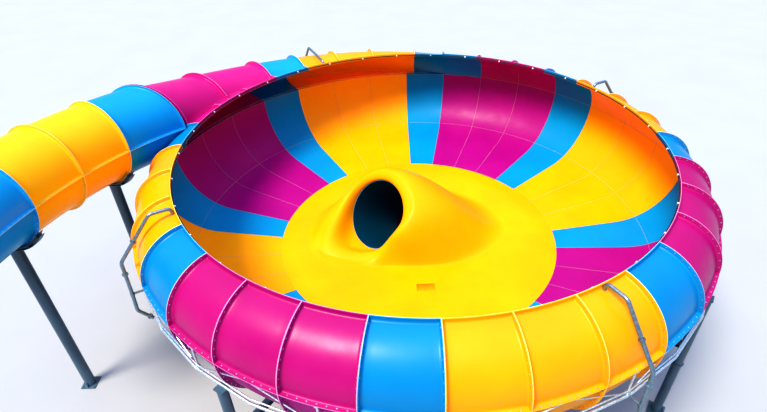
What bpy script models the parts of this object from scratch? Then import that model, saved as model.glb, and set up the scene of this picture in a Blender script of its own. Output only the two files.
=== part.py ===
"""Raft bowl water slide: a round bolted shell bowl with a tube that feeds it, an exit tube and its steel frame.

The bowl's axis is vertical. While the pieces are modelled, the axis stands at X = 0, Y = 0 and the ground is
Z = 0. At the end everything moves sideways together, so that the origin is the middle of the object's base.
"""
import math

import bmesh
import bpy
import numpy as np
from mathutils import Vector

# Clearance between pieces that touch
GAP = 0.0003

# Bowl, all radii from its axis
RIM_HEIGHT = 9.0
RIM_RADIUS = 9.15
BARREL_INSET = 0.05
BARREL_RADIUS = 1.59
WALL_CENTRE = 8.17
WALL_HEIGHT = 2.67
FLOOR_SEAM_RADIUS = 9.33
FLOOR_SLOPE_DEG = 8.3
DISC_RADIUS = 5.87
DISC_LEDGE = 0.62
DISC_FLAT_RADIUS = 2.2
DISC_DROP = 0.36

# Shell panels and their bolted flanges
PANELS = 32
FIRST_SEAM_DEG = 168.11
SHELL = 0.02
DISC_SHELL = 0.03
RIB_HEIGHT = 0.15
RIB_WIDTH = 0.06
FLANGE_THICKNESS = 0.025
LIP_THICKNESS = 0.04
ARC_STEPS = 5

# Where the feed tube opens into the bowl
PANELS_PER_SECTION = 4
ENTRY_FIRST_SEAM = 24
ENTRY_SPLIT_SEAM = 28
ENTRY_SPREAD = 2.44
ENTRY_RISE = 1.52
ENTRY_RISE_POWER = 3.35
ENTRY_TAIL_SHARE = 0.2
ENTRY_TAIL_POWER = 6
ENTRY_FLARE = 0.08
ENTRY_STEPS = 6
VALLEY_FIRST_DEG = 80.0
VALLEY_STEP_DEG = 0.25

# Feed tube: it bends a little less the further it is from the bowl
FEED_HEADING_DEG = 55.6
FEED_TURN_DEG_PER_M = 3.40
FEED_TURN_CHANGE = -0.062
FEED_SLOPE_DEG = -5.6
FEED_SLOPE_CHANGE_DEG = 0.34
FEED_SEGMENT = 2.34
FEED_SEGMENTS = 4
FEED_SIDES = 16
FEED_STEPS = 2
FEED_SUM_STEPS = 64
FEED_LEAST_RUN = 0.000001
FEED_CLEARANCE = 0.008

# Exit tube, from its mouth in the floor to the flange under the bowl's edge
EXIT_RADIUS = 1.50
EXIT_MOUTH = (-1.70, 0.44)
EXIT_MOUTH_SINK = 0.08
EXIT_HEADING_DEG = 38.3
EXIT_DIVE_DEG = 33.4
EXIT_LEVEL_DEG = 2.0
EXIT_BEND_RADIUS = 3.2
EXIT_DIVE_LENGTH = 4.8
EXIT_RUN = 5.2
EXIT_SIDES = 20
EXIT_HOLE_REACH = 2.0
EXIT_SADDLE_WIDTH = 2.2
EXIT_SADDLE_LENGTH = 0.40
EXIT_SADDLE_GRIP = 0.45
EXIT_BEND_STEPS = 5
HOOD_ROOM_ALONG = 0.80
HOOD_ROOM_ACROSS = 0.70
HOOD_ROOM_ABOVE = 0.85
HOOD_SIDES = 20
HOOD_LEVELS = 10
HOOD_SINK = 0.30
HOOD_ADVANCE = 1.3
HOOD_CUTTER_DEPTH = 3.0

# Steel
RING_DROP = 1.01
RING_TUBE = 0.07
RING_SIDES = 6
STUB_RADIUS = 0.045
STUB_INSET = 0.06
STUB_SIDES = 6
COLUMNS = 8
COLUMN_FIRST_SEAM = 2
COLUMN_RADIUS = 0.16
COLUMN_SIDES = 12
PLATE_SIZE = 0.60
PLATE_THICKNESS = 0.03
SPOKE_TOP_DROP = 0.27
SPOKE_DEPTH = 0.30
SPOKE_WIDTH = 0.16
BEAM_RADIUS = 5.48
BEAM_WIDTH = 0.20
BEAM_DROP = 0.02
POST_RADIUS = 0.13
FEED_COLUMN_RADIUS = 0.20
SADDLE_WIDTH = 0.36
SADDLE_DEPTH = 0.14
SADDLE_FACETS = 5

# Water pipes
PIPE_RADIUS = 0.06
PIPE_FIRST_PANEL = 3.5
PIPES = 4
PIPE_MOUTH_INSET = 0.15
PIPE_SIDES = 12
PIPE_SEAT_GAP = 0.001
PIPE_CLEARANCE = 0.45
PIPE_BEND = ((0.0, 0.12), (0.06, 0.24), (0.35, 0.27), (0.69, 0.25))
PIPE_SHOULDER = (-0.05, -1.38)
PIPE_TAIL = ((0.05, -0.77), (-0.33, -1.33))
PIPE_POINTS = 20

COLOURS = {
    "yellow": ("#FFD800", 0.25, 0.0),
    "magenta": ("#DA128E", 0.25, 0.0),
    "blue": ("#00AEEF", 0.25, 0.0),
    "galvanised": ("#B9C0C4", 0.45, 0.9),
    "slate": ("#3B5464", 0.45, 0.3),
}

BARREL_CENTRE = RIM_RADIUS - BARREL_INSET
BOWL_RADIUS = BARREL_CENTRE + BARREL_RADIUS
WALL_WIDTH = BOWL_RADIUS - WALL_CENTRE
SEAM_Z = RIM_HEIGHT - BARREL_RADIUS - RIB_HEIGHT
FLANGE_RADIUS = BOWL_RADIUS + RIB_HEIGHT
RING_RADIUS = FLANGE_RADIUS
RING_Z = SEAM_Z - RING_DROP
FLOOR_SLOPE = math.radians(FLOOR_SLOPE_DEG)
FLOOR_SEAM_ANGLE = math.asin((FLOOR_SEAM_RADIUS - WALL_CENTRE) / WALL_WIDTH) - math.pi / 2
FLOOR_TANGENT = math.atan(WALL_WIDTH / WALL_HEIGHT * math.tan(FLOOR_SLOPE)) - math.pi / 2
ENTRY_PANELS = PANELS - ENTRY_FIRST_SEAM
PANEL_DEG = 360.0 / PANELS
DISC_RADII = (DISC_RADIUS, DISC_RADIUS - DISC_LEDGE, DISC_FLAT_RADIUS, 0.0)


def clear_scene():
    """Remove every object of the scene."""
    for item in list(bpy.data.objects):
        bpy.data.objects.remove(item, do_unlink=True)


def new_collection(name):
    """Make a collection in the scene."""
    collection = bpy.data.collections.new(name)
    bpy.context.scene.collection.children.link(collection)
    return collection


def linear(channel):
    """Turn one sRGB channel from 0 to 1 into a linear value."""
    if channel <= 0.04045:
        return channel / 12.92
    return ((channel + 0.055) / 1.055) ** 2.4


def make_material(name):
    """Make the Principled material of one colour of the table."""
    code, roughness, metallic = COLOURS[name]
    material = bpy.data.materials.new(name)
    material.use_nodes = True
    shader = material.node_tree.nodes["Principled BSDF"]
    channels = [linear(int(code[i:i + 2], 16) / 255.0) for i in (1, 3, 5)]
    shader.inputs["Base Color"].default_value = (*channels, 1.0)
    shader.inputs["Roughness"].default_value = roughness
    shader.inputs["Metallic"].default_value = metallic
    return material


def seam_angle(seam):
    """Azimuth of a seam in radians; a panel lies between two seams."""
    return math.radians(FIRST_SEAM_DEG + PANEL_DEG * seam)


def place(radius, angle, height):
    """World point at a radius and azimuth round the bowl's axis."""
    return (radius * math.cos(angle), radius * math.sin(angle), height)


def arc(centre_r, centre_z, radius, first, last, steps, height_radius=None):
    """Points of an arc in the radius and height plane, angles in radians from outward level."""
    angles = np.linspace(first, last, steps + 1)
    tall = radius if height_radius is None else height_radius
    return np.stack([centre_r + radius * np.cos(angles), centre_z + tall * np.sin(angles)], axis=1)


def mesh_object(name, mesh_data, collection):
    """Put a bmesh into a new named object."""
    mesh = bpy.data.meshes.new(name)
    bmesh.ops.remove_doubles(mesh_data, verts=mesh_data.verts, dist=0.00005)
    bmesh.ops.dissolve_degenerate(mesh_data, dist=0.00002, edges=mesh_data.edges)
    bmesh.ops.recalc_face_normals(mesh_data, faces=mesh_data.faces)
    mesh_data.to_mesh(mesh)
    mesh_data.free()
    mesh.set_sharp_from_angle(angle=math.radians(35))
    item = bpy.data.objects.new(name, mesh)
    collection.objects.link(item)
    return item


def loft(name, rings, collection, cyclic=False):
    """Join closed rings of equally many points: one after another, capped, or round to the first again."""
    mesh_data = bmesh.new()
    loops = [[mesh_data.verts.new(point) for point in ring] for ring in rings]
    pairs = list(zip(loops, loops[1:]))
    if cyclic:
        pairs.append((loops[-1], loops[0]))
    for near, far in pairs:
        count = len(near)
        for i in range(count):
            j = (i + 1) % count
            mesh_data.faces.new((near[i], near[j], far[j], far[i]))
    if not cyclic:
        mesh_data.faces.new(list(reversed(loops[0])))
        mesh_data.faces.new(loops[-1])
    return mesh_object(name, mesh_data, collection)


def apply_boolean(item, other, operation):
    """Join or cut an object with another one and keep the result as its mesh."""
    modifier = item.modifiers.new(operation.lower(), "BOOLEAN")
    modifier.operation = operation
    modifier.object = other
    modifier.solver = "EXACT"
    graph = bpy.context.evaluated_depsgraph_get()
    mesh = bpy.data.meshes.new_from_object(item.evaluated_get(graph))
    item.modifiers.remove(modifier)
    item.data = mesh


def join_all(item, others):
    """Unite an object with others that overlap it, and remove those."""
    for other in others:
        apply_boolean(item, other, "UNION")
        bpy.data.objects.remove(other, do_unlink=True)
    return item


def cut(item, cutter, cutters):
    """Cut an object with a cutter that stays as a hidden guide."""
    if cutter.name not in cutters.objects:
        for owner in list(cutter.users_collection):
            owner.objects.unlink(cutter)
        cutters.objects.link(cutter)
    cutter.hide_render = True
    cutter.display_type = "WIRE"
    apply_boolean(item, cutter, "DIFFERENCE")


def cylinder(name, radius, low, high, collection, sides=COLUMN_SIDES, turn=0.0):
    """Upright cylinder from the low point to the height high."""
    mesh_data = bmesh.new()
    bmesh.ops.create_cone(mesh_data, cap_ends=True, segments=sides, radius1=radius, radius2=radius,
                          depth=high - low[2])
    for vertex in mesh_data.verts:
        x, y, z = vertex.co
        vertex.co = (low[0] + x * math.cos(turn) - y * math.sin(turn),
                     low[1] + x * math.sin(turn) + y * math.cos(turn), z + (high + low[2]) / 2.0)
    return mesh_object(name, mesh_data, collection)


def box(name, centre, size, angle, collection):
    """Box of a size, turned about the vertical."""
    mesh_data = bmesh.new()
    bmesh.ops.create_cube(mesh_data, size=1.0)
    cosine, sine = math.cos(angle), math.sin(angle)
    for vertex in mesh_data.verts:
        x, y, z = (vertex.co[i] * size[i] for i in range(3))
        vertex.co = (centre[0] + x * cosine - y * sine, centre[1] + x * sine + y * cosine, centre[2] + z)
    return mesh_object(name, mesh_data, collection)


def rim_flange(height):
    """Points of the flange that stands up along the rim, from its inner foot at a height to its outer top."""
    outside = RIM_RADIUS + LIP_THICKNESS
    return [(RIM_RADIUS, height), (RIM_RADIUS, RIM_HEIGHT), (outside, RIM_HEIGHT)]


def ring_profile(rib):
    """Cross-section of the upper ring: a quarter tube with a flange below and one along the rim."""
    reach, inside = BARREL_RADIUS + rib, BARREL_RADIUS - SHELL
    top = math.acos((BARREL_INSET + LIP_THICKNESS) / reach)
    foot = math.asin(FLANGE_THICKNESS / reach)
    outer = arc(BARREL_CENTRE, SEAM_Z, reach, top, foot, ARC_STEPS)
    inner = arc(BARREL_CENTRE, SEAM_Z, inside, 0.0, math.acos(BARREL_INSET / inside), ARC_STEPS)
    flange = [(FLANGE_RADIUS, SEAM_Z + FLANGE_THICKNESS), (FLANGE_RADIUS, SEAM_Z)]
    return [*rim_flange(inner[-1][1])[1:], *outer, *flange, *inner]


def wall_arc(offset, first, last, steps):
    """Points of the wall's elliptical curve, at an offset outside the shell's outer face."""
    return arc(WALL_CENTRE, SEAM_Z - GAP, WALL_WIDTH + offset, first, last, steps, WALL_HEIGHT + offset)


def wall_profile(rib):
    """Cross-section of the wall row, from its top flange down to the floor seam."""
    top = SEAM_Z - GAP
    foot = FLOOR_SEAM_ANGLE + GAP / WALL_HEIGHT
    below_top = -math.asin(FLANGE_THICKNESS / (WALL_HEIGHT + rib))
    above_foot = foot + FLANGE_THICKNESS / WALL_HEIGHT
    outer = wall_arc(rib, below_top, above_foot, ARC_STEPS)
    flange = wall_arc(RIB_HEIGHT, above_foot, foot, 1)
    inner = wall_arc(-SHELL, foot, 0.0, ARC_STEPS)
    rim = [(FLANGE_RADIUS, top), (FLANGE_RADIUS, top - FLANGE_THICKNESS)]
    return [*outer, *flange, *inner, *rim]


def slope_point(radius, depth):
    """Point on the floor's slope at a radius, a depth under its wet face."""
    start = wall_arc(-SHELL, FLOOR_TANGENT, FLOOR_TANGENT, 0)[0]
    return (radius, start[1] + (radius - start[0]) * math.tan(FLOOR_SLOPE) - depth)


def floor_profile(rib):
    """Cross-section of the floor row, from the floor seam in to the disc."""
    inside_seam = FLOOR_SEAM_ANGLE - FLANGE_THICKNESS / WALL_HEIGHT
    edge = DISC_RADIUS + GAP
    flange_deep = (SHELL + RIB_HEIGHT) / math.cos(FLOOR_SLOPE)
    rib_deep = (SHELL + rib) / math.cos(FLOOR_SLOPE)
    inner = [slope_point(edge, 0.0), *wall_arc(-SHELL, FLOOR_TANGENT, FLOOR_SEAM_ANGLE, 1)]
    flange = wall_arc(RIB_HEIGHT, FLOOR_SEAM_ANGLE, inside_seam, 1)
    outer = wall_arc(rib, inside_seam, FLOOR_TANGENT, 1)
    near = edge + FLANGE_THICKNESS
    disc_flange = [slope_point(near, rib_deep), slope_point(near, flange_deep), slope_point(edge, flange_deep)]
    return [*inner, *flange, *outer, *disc_flange]


def entry_share(seam):
    """How far a seam lies along the entry: 0 where the hood has merged, 1 where the closed tube ends."""
    return (seam - ENTRY_FIRST_SEAM) / ENTRY_PANELS


def entry_centre(seam):
    """Radius, height and half width of the tube's section where it opens into the bowl."""
    share = entry_share(seam)
    tail = share ** ENTRY_TAIL_POWER
    spread = (1.0 - ENTRY_TAIL_SHARE) * math.sin(math.pi * share / 2.0) + ENTRY_TAIL_SHARE * tail
    radius = BARREL_CENTRE + ENTRY_SPREAD * spread
    height = SEAM_Z + FLANGE_THICKNESS + ENTRY_RISE * share ** ENTRY_RISE_POWER
    return radius, height, BARREL_RADIUS * (1.0 + ENTRY_FLARE * tail)


def valley_angle(centre, half_width, half_height, barrel, end_radius):
    """Angle on the hood's section where it meets the barrel's surface or ends at the rim."""
    for angle in np.radians(np.arange(VALLEY_FIRST_DEG, 180.0, VALLEY_STEP_DEG)):
        radius = centre[0] + half_width * math.cos(angle)
        height = centre[1] + half_height * math.sin(angle)
        reach = barrel ** 2 - (radius - BARREL_CENTRE) ** 2
        if radius <= end_radius or (reach > 0 and height < SEAM_Z + math.sqrt(reach)):
            return float(angle)
    return math.pi


def hood_curve(seam, offset, end_radius):
    """Upper outline of the entry at a seam: over the tube's crown, into the valley, up to the rim."""
    radius, height, half_width = entry_centre(seam)
    wide, tall, barrel = half_width + offset, BARREL_RADIUS + offset, BARREL_RADIUS + offset
    last = valley_angle((radius, height), wide, tall, barrel, end_radius)
    crown = arc(radius, height, wide, last, 0.0, ENTRY_STEPS, tall)
    valley = crown[0]
    first = math.acos(min(1.0, (end_radius - BARREL_CENTRE) / barrel))
    second = math.acos(min(1.0, max(end_radius - BARREL_CENTRE, valley[0] - BARREL_CENTRE) / barrel))
    strip = arc(BARREL_CENTRE, SEAM_Z, barrel, first, second, 2)
    share = np.linspace(0.0, 1.0, 3)[:, None]
    strip = strip + share * (valley - strip[-1])
    return [*strip[:-1], *crown]


def entry_profile(seam, rib):
    """Cross-section of the entry: hood above, side, and the trough's floor back to the wall row's flange."""
    outer = hood_curve(seam, rib, RIM_RADIUS + LIP_THICKNESS)
    inner = hood_curve(seam, -SHELL, RIM_RADIUS)
    radius, height, half_width = entry_centre(seam)
    quarter = np.linspace(0.0, math.pi / 2, ARC_STEPS)
    side = max(radius + half_width + rib, BOWL_RADIUS)
    low = [(FLANGE_RADIUS + (side - FLANGE_RADIUS) * math.cos(t), height + (SEAM_Z - height) * math.sin(t))
           for t in quarter[1:]]
    inside = BOWL_RADIUS - SHELL
    rest = SEAM_Z + FLANGE_THICKNESS
    high = [(inside + (radius + half_width - SHELL - inside) * math.cos(t),
             height + (rest - height) * math.sin(t)) for t in quarter[1:]]
    return [*rim_flange(inner[0][1])[1:], *outer, *low, (inside, SEAM_Z), *reversed(high), *reversed(inner)]


def shell_section(name, profile, first, last, collection):
    """Panels between two seams, with a rib at each seam; profile gives the section at a seam."""
    half = RIB_WIDTH / 2.0 / BOWL_RADIUS
    gap = GAP / 2.0 / DISC_RADIUS
    rings = []
    for seam in range(first, last + 1):
        angle = seam_angle(seam)
        before, after = angle - half, angle + half
        if seam == first:
            stations = [(angle + gap, RIB_HEIGHT), (after, RIB_HEIGHT), (after, 0.0)]
        elif seam == last:
            stations = [(before, 0.0), (before, RIB_HEIGHT), (angle - gap, RIB_HEIGHT)]
        else:
            stations = [(before, 0.0), (before, RIB_HEIGHT), (after, RIB_HEIGHT), (after, 0.0)]
        for turn, rib in stations:
            rings.append([place(radius, turn, height) for radius, height in profile(seam, rib)])
    return loft(name, rings, collection)


def build_bowl(parts, materials):
    """Upper ring, wall row and floor row, each in bolted sections."""
    made = {}
    colour = ("yellow", "magenta")
    sections = ENTRY_FIRST_SEAM // PANELS_PER_SECTION
    for index in range(sections):
        first = index * PANELS_PER_SECTION
        last = ENTRY_FIRST_SEAM if index == sections - 1 else first + PANELS_PER_SECTION
        made[f"upper_ring_{index + 1}"] = (lambda seam, rib: ring_profile(rib), first, last, colour[index % 2])
    made["entry_hood_1"] = (entry_profile, ENTRY_FIRST_SEAM, ENTRY_SPLIT_SEAM, "blue")
    made["entry_hood_2"] = (entry_profile, ENTRY_SPLIT_SEAM, PANELS, "magenta")
    for index in range(PANELS // PANELS_PER_SECTION):
        first = index * PANELS_PER_SECTION
        made[f"wall_row_{index + 1}"] = (lambda seam, rib: wall_profile(rib), first,
                                         first + PANELS_PER_SECTION, colour[index % 2])
    for index in range(PANELS // PANELS_PER_SECTION // 2):
        first = index * PANELS_PER_SECTION * 2
        made[f"floor_row_{index + 1}"] = (lambda seam, rib: floor_profile(rib), first,
                                          first + PANELS_PER_SECTION * 2, colour[index % 2])
    pieces = {}
    for name, (profile, first, last, tint) in made.items():
        pieces[name] = shell_section(name, profile, first, last, parts)
        pieces[name].data.materials.append(materials[tint])
    return pieces


def feed_frame(distance):
    """Centre, level side direction, up direction and heading of the feed tube, upstream of the bowl.

    distance is measured from the joint with the bowl's entry, against the riders' way.
    """
    steps = np.linspace(0.0, max(distance, FEED_LEAST_RUN), FEED_SUM_STEPS + 1)
    turn = FEED_TURN_DEG_PER_M * steps + FEED_TURN_CHANGE * steps ** 2 / 2.0
    heading = np.radians(FEED_HEADING_DEG + math.copysign(1.0, distance) * turn)
    slope = np.radians(FEED_SLOPE_DEG + FEED_SLOPE_CHANGE_DEG * steps)
    radius, height, _ = entry_centre(PANELS)
    start = place(radius, seam_angle(PANELS), height)
    step = steps[1] - steps[0]

    def run(values):
        """Sum a rate along the tube up to its end."""
        return float(np.sum((values[1:] + values[:-1]) / 2.0) * step)

    centre = np.array([start[0] - run(np.cos(heading)), start[1] - run(np.sin(heading)),
                       start[2] - run(np.tan(slope))])
    way = np.array([math.cos(heading[-1]), math.sin(heading[-1]), math.tan(slope[-1])])
    way = way / np.linalg.norm(way)
    side = np.array([-way[1], way[0], 0.0]) / math.hypot(way[0], way[1])
    return centre, side, np.cross(way, side), way


def feed_ring(distance, radius, mitre=None):
    """Circle of the feed tube at a distance; with a mitre it lies that far before the entry's plane."""
    centre, side, up, way = feed_frame(distance)
    angles = np.linspace(0.0, 2.0 * math.pi, FEED_SIDES, endpoint=False) + math.pi / FEED_SIDES
    points = centre + radius * (np.cos(angles)[:, None] * side + np.sin(angles)[:, None] * up)
    if mitre is not None:
        turn = seam_angle(PANELS)
        normal = np.array([math.sin(turn), -math.cos(turn), 0.0])
        along = (-mitre - points @ normal) / (way @ normal)
        points = points + along[:, None] * way
    return points


def feed_segment(name, index, parts, clearance=0.0, solid=False):
    """One closed tube piece with a ring flange at each end; as a solid it is the cutter of what it passes."""
    start, end = index * FEED_SEGMENT, (index + 1) * FEED_SEGMENT
    outside, flange = BARREL_RADIUS + clearance, BARREL_RADIUS + RIB_HEIGHT + clearance
    inside = BARREL_RADIUS - SHELL
    width = RIB_WIDTH / 2.0
    far_flange, far_end = end - width - clearance, end - GAP / 2.0 + clearance

    def near(offset, radius):
        """Ring a little way along from the bowl's end; the first piece ends in the entry's plane."""
        if index == 0:
            return feed_ring(start + max(offset, 0.0), radius, offset)
        return feed_ring(start + offset, radius)

    first, step = GAP - clearance, width + clearance
    stations = np.linspace(start + width, end - width, FEED_STEPS + 1)[1:-1]
    outer = [near(first, flange), near(step, flange), near(step, outside)]
    outer += [feed_ring(distance, outside) for distance in (*stations, far_flange)]
    outer += [feed_ring(far_flange, flange), feed_ring(far_end, flange)]
    if solid:
        return loft(name, outer, parts)
    inner = [feed_ring(distance, inside) for distance in (far_end, *reversed(stations))]
    inner.append(near(first, inside))
    return loft(name, outer + inner, parts, cyclic=True)


def build_feed_tube(parts, cutters, materials, bowl):
    """Closed tube pieces up to the bowl; where the first one leans on the bowl, the bowl is cut round it."""
    tints = ("blue", "yellow", "yellow", "blue")
    for index in range(FEED_SEGMENTS):
        piece = feed_segment(f"feed_tube_{index + 1}", index, parts)
        piece.data.materials.append(materials[tints[index % len(tints)]])
    cutter = feed_segment("feed_tube_cutter", 0, cutters, clearance=FEED_CLEARANCE, solid=True)
    cut(bowl["upper_ring_1"], cutter, cutters)
    cut(bowl["wall_row_1"], cutter, cutters)


def exit_path():
    """Centres and directions of the exit tube: a dive, a bend and a nearly level run."""
    heading = math.radians(EXIT_HEADING_DEG)
    level = np.array([math.cos(heading), math.sin(heading)])
    dive, flat = math.radians(EXIT_DIVE_DEG), math.radians(EXIT_LEVEL_DEG)
    start = np.array([0.0, disc_height(0.0) + EXIT_RADIUS * math.cos(dive) - EXIT_MOUTH_SINK])
    stations = [(start, dive)]
    end = start + EXIT_DIVE_LENGTH * np.array([math.cos(dive), -math.sin(dive)])
    centre = end + EXIT_BEND_RADIUS * np.array([math.sin(dive), math.cos(dive)])
    for angle in np.linspace(dive, flat, EXIT_BEND_STEPS):
        stations.append((centre - EXIT_BEND_RADIUS * np.array([math.sin(angle), math.cos(angle)]), angle))
    last = stations[-1][0] + EXIT_RUN * np.array([math.cos(flat), -math.sin(flat)])
    stations.append((last, flat))
    frames = []
    for (along, height), angle in stations:
        centre = np.array([EXIT_MOUTH[0] + along * level[0], EXIT_MOUTH[1] + along * level[1], height])
        way = np.array([*(level * math.cos(angle)), -math.sin(angle)])
        frames.append((centre, way))
    return frames


def exit_ring(centre, way, radius, shift=0.0):
    """Circle round the exit tube's centre line, moved along it by a shift."""
    side = np.array([-way[1], way[0], 0.0]) / math.hypot(way[0], way[1])
    up = np.cross(way, side)
    angles = np.linspace(0.0, 2.0 * math.pi, EXIT_SIDES, endpoint=False)
    return centre + shift * way + radius * (np.cos(angles)[:, None] * side + np.sin(angles)[:, None] * up)


def exit_solid(name, radius, frames, collection):
    """Solid rod along the exit tube's line, from above its mouth, used to cut what the tube passes through."""
    rings = [exit_ring(*frames[0], radius, -EXIT_HOLE_REACH)]
    rings += [exit_ring(centre, way, radius) for centre, way in frames[1:]]
    return loft(name, rings, collection)


def exit_tube(name, frames, parts):
    """Open tube along frames with a ring flange at its lower end."""
    inside = EXIT_RADIUS - SHELL
    outer = [exit_ring(centre, way, EXIT_RADIUS) for centre, way in frames]
    centre, way = frames[-1]
    outer[-1] = exit_ring(centre, way, EXIT_RADIUS, -RIB_WIDTH / 2.0)
    outer += [exit_ring(centre, way, EXIT_RADIUS + RIB_HEIGHT, -RIB_WIDTH / 2.0),
              exit_ring(centre, way, EXIT_RADIUS + RIB_HEIGHT)]
    inner = [exit_ring(centre, way, inside) for centre, way in reversed(frames)]
    return loft(name, outer + inner, parts, cyclic=True)


def disc_height(radius):
    """Height of the disc's wet face at a radius."""
    ledge = DISC_RADIUS - DISC_LEDGE
    share = min(1.0, max(0.0, (ledge - radius) / (ledge - DISC_FLAT_RADIUS)))
    return slope_point(DISC_RADIUS, 0.0)[1] - DISC_DROP * share


def revolve(name, outline, collection):
    """Closed outline of radii and heights, turned round the bowl's axis with a corner at every seam."""
    rings = [[place(radius, seam_angle(seam), height) for radius, height in outline] for seam in range(PANELS)]
    return loft(name, rings, collection, cyclic=True)


def build_disc(hole, parts, cutters, materials):
    """Disc in the middle of the floor, cut where the exit tube starts."""
    top = [(radius, disc_height(radius)) for radius in DISC_RADII]
    disc = revolve("centre_disc", top + [(radius, height - DISC_SHELL) for radius, height in reversed(top)], parts)
    cut(disc, hole, cutters)
    disc.data.materials.append(materials["yellow"])


def build_exit_hood(hole, mouth, way, parts, cutters, materials):
    """Smooth hood on the disc, round the exit's mouth."""
    mesh_data = bmesh.new()
    bmesh.ops.create_uvsphere(mesh_data, u_segments=HOOD_SIDES, v_segments=HOOD_LEVELS, radius=1.0)
    turn = math.radians(EXIT_HEADING_DEG)
    middle = mouth + way * HOOD_ADVANCE
    floor = disc_height(0.0)
    half_length, half_width = EXIT_RADIUS + HOOD_ROOM_ALONG, EXIT_RADIUS + HOOD_ROOM_ACROSS
    height = EXIT_RADIUS + HOOD_ROOM_ABOVE
    for vertex in mesh_data.verts:
        x, y, z = vertex.co[0] * half_length, vertex.co[1] * half_width, vertex.co[2] * height
        vertex.co = (middle[0] + x * math.cos(turn) - y * math.sin(turn),
                     middle[1] + x * math.sin(turn) + y * math.cos(turn), floor - HOOD_SINK + z)
    hood = mesh_object("exit_hood", mesh_data, parts)
    below = floor - HOOD_CUTTER_DEPTH
    outline = [(radius, disc_height(radius) + GAP) for radius in DISC_RADII]
    cut(hood, revolve("disc_cutter", [(DISC_RADIUS, below), *outline, (0.0, below)], cutters), cutters)
    cut(hood, hole, cutters)
    hood.data.materials.append(materials["yellow"])


def build_exit(parts, cutters, materials):
    """Disc and hood round the exit's mouth, and the exit tube in two pieces with a saddle under the lower one."""
    frames = exit_path()
    hole = exit_solid("exit_hole_cutter", EXIT_RADIUS + GAP, frames, cutters)
    build_disc(hole, parts, cutters, materials)
    build_exit_hood(hole, *frames[0], parts, cutters, materials)
    upper = exit_tube("exit_tube_1", frames[:-1], parts)
    upper.data.materials.append(materials["blue"])
    joint, way = frames[-2]
    start = joint + GAP * way
    lower = exit_tube("exit_tube_2", [(start, way), frames[-1]], parts)
    lower.data.materials.append(materials["magenta"])
    middle = (start + frames[-1][0]) / 2.0
    height = middle[2] - EXIT_RADIUS + EXIT_SADDLE_GRIP
    saddle = box("exit_saddle", (middle[0], middle[1], height / 2.0),
                 (EXIT_SADDLE_LENGTH, EXIT_SADDLE_WIDTH, height), math.radians(EXIT_HEADING_DEG), parts)
    cut(saddle, hole, cutters)
    saddle.data.materials.append(materials["slate"])


def column_seams():
    """Seams that have a column under them."""
    return [COLUMN_FIRST_SEAM + index * PANELS // COLUMNS for index in range(COLUMNS)]


def build_steel(parts, materials):
    """Ring round the bowl, columns on base plates, and the spoked frame under the floor."""
    ring_flat = RING_TUBE * math.sin(math.pi / RING_SIDES * 2.0)
    corners = np.linspace(0.0, 2.0 * math.pi, RING_SIDES, endpoint=False)
    tube = [(RING_RADIUS + RING_TUBE * math.cos(t), RING_Z + RING_TUBE * math.sin(t)) for t in corners]
    ring = revolve("ring_frame", tube, parts)
    stub_top = SEAM_Z - GAP - FLANGE_THICKNESS - GAP
    facet = math.cos(math.pi / PANELS)
    stubs = []
    for panel in range(1, PANELS, 2):
        angle = seam_angle(panel + 0.5)
        foot = place((FLANGE_RADIUS - STUB_INSET) * facet, angle, RING_Z)
        stubs.append(cylinder(f"stub_{panel}", STUB_RADIUS, foot, stub_top, parts, sides=STUB_SIDES, turn=angle))
    join_all(ring, stubs)
    ring.data.materials.append(materials["galvanised"])

    spoke_end = RING_RADIUS - COLUMN_RADIUS - GAP
    spoke_start = BEAM_RADIUS - BEAM_WIDTH / 4.0
    spoke_z = disc_height(DISC_RADIUS) - SPOKE_TOP_DROP - SPOKE_DEPTH / 2.0
    for index, seam in enumerate(column_seams()):
        angle = seam_angle(seam)
        foot = place(RING_RADIUS, angle, PLATE_THICKNESS / 2.0)
        column = cylinder(f"column_{index + 1}", COLUMN_RADIUS, foot, RING_Z - ring_flat - GAP, parts,
                          turn=angle - math.pi / 2)
        plate = box("plate", (foot[0], foot[1], PLATE_THICKNESS / 2.0), (PLATE_SIZE, PLATE_SIZE, PLATE_THICKNESS),
                    angle, parts)
        join_all(column, [plate])
        column.data.materials.append(materials["slate"])

    low = spoke_z - SPOKE_DEPTH / 2.0 - BEAM_DROP
    high = disc_height(DISC_RADIUS) - DISC_SHELL - GAP
    beam_in, beam_out = BEAM_RADIUS - BEAM_WIDTH / 2.0, BEAM_RADIUS + BEAM_WIDTH / 2.0
    outline = [(beam_in, low), (beam_out, low), (beam_out, high), (beam_in, high)]
    frame = revolve("under_frame", outline, parts)
    additions = []
    for index, seam in enumerate(column_seams()):
        angle = seam_angle(seam)
        middle = place((spoke_start + spoke_end) / 2.0, angle, spoke_z)
        additions.append(box(f"spoke_{index}", middle, (spoke_end - spoke_start, SPOKE_WIDTH, SPOKE_DEPTH),
                             angle, parts))
        if index % 2 == 0:
            foot = place(BEAM_RADIUS, angle, PLATE_THICKNESS / 2.0)
            additions.append(cylinder(f"post_{index}", POST_RADIUS, foot, spoke_z, parts, turn=angle))
            additions.append(box(f"post_plate_{index}", (foot[0], foot[1], PLATE_THICKNESS / 2.0),
                                 (PLATE_SIZE, PLATE_SIZE, PLATE_THICKNESS), angle, parts))
    join_all(frame, additions)
    frame.data.materials.append(materials["slate"])


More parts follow.
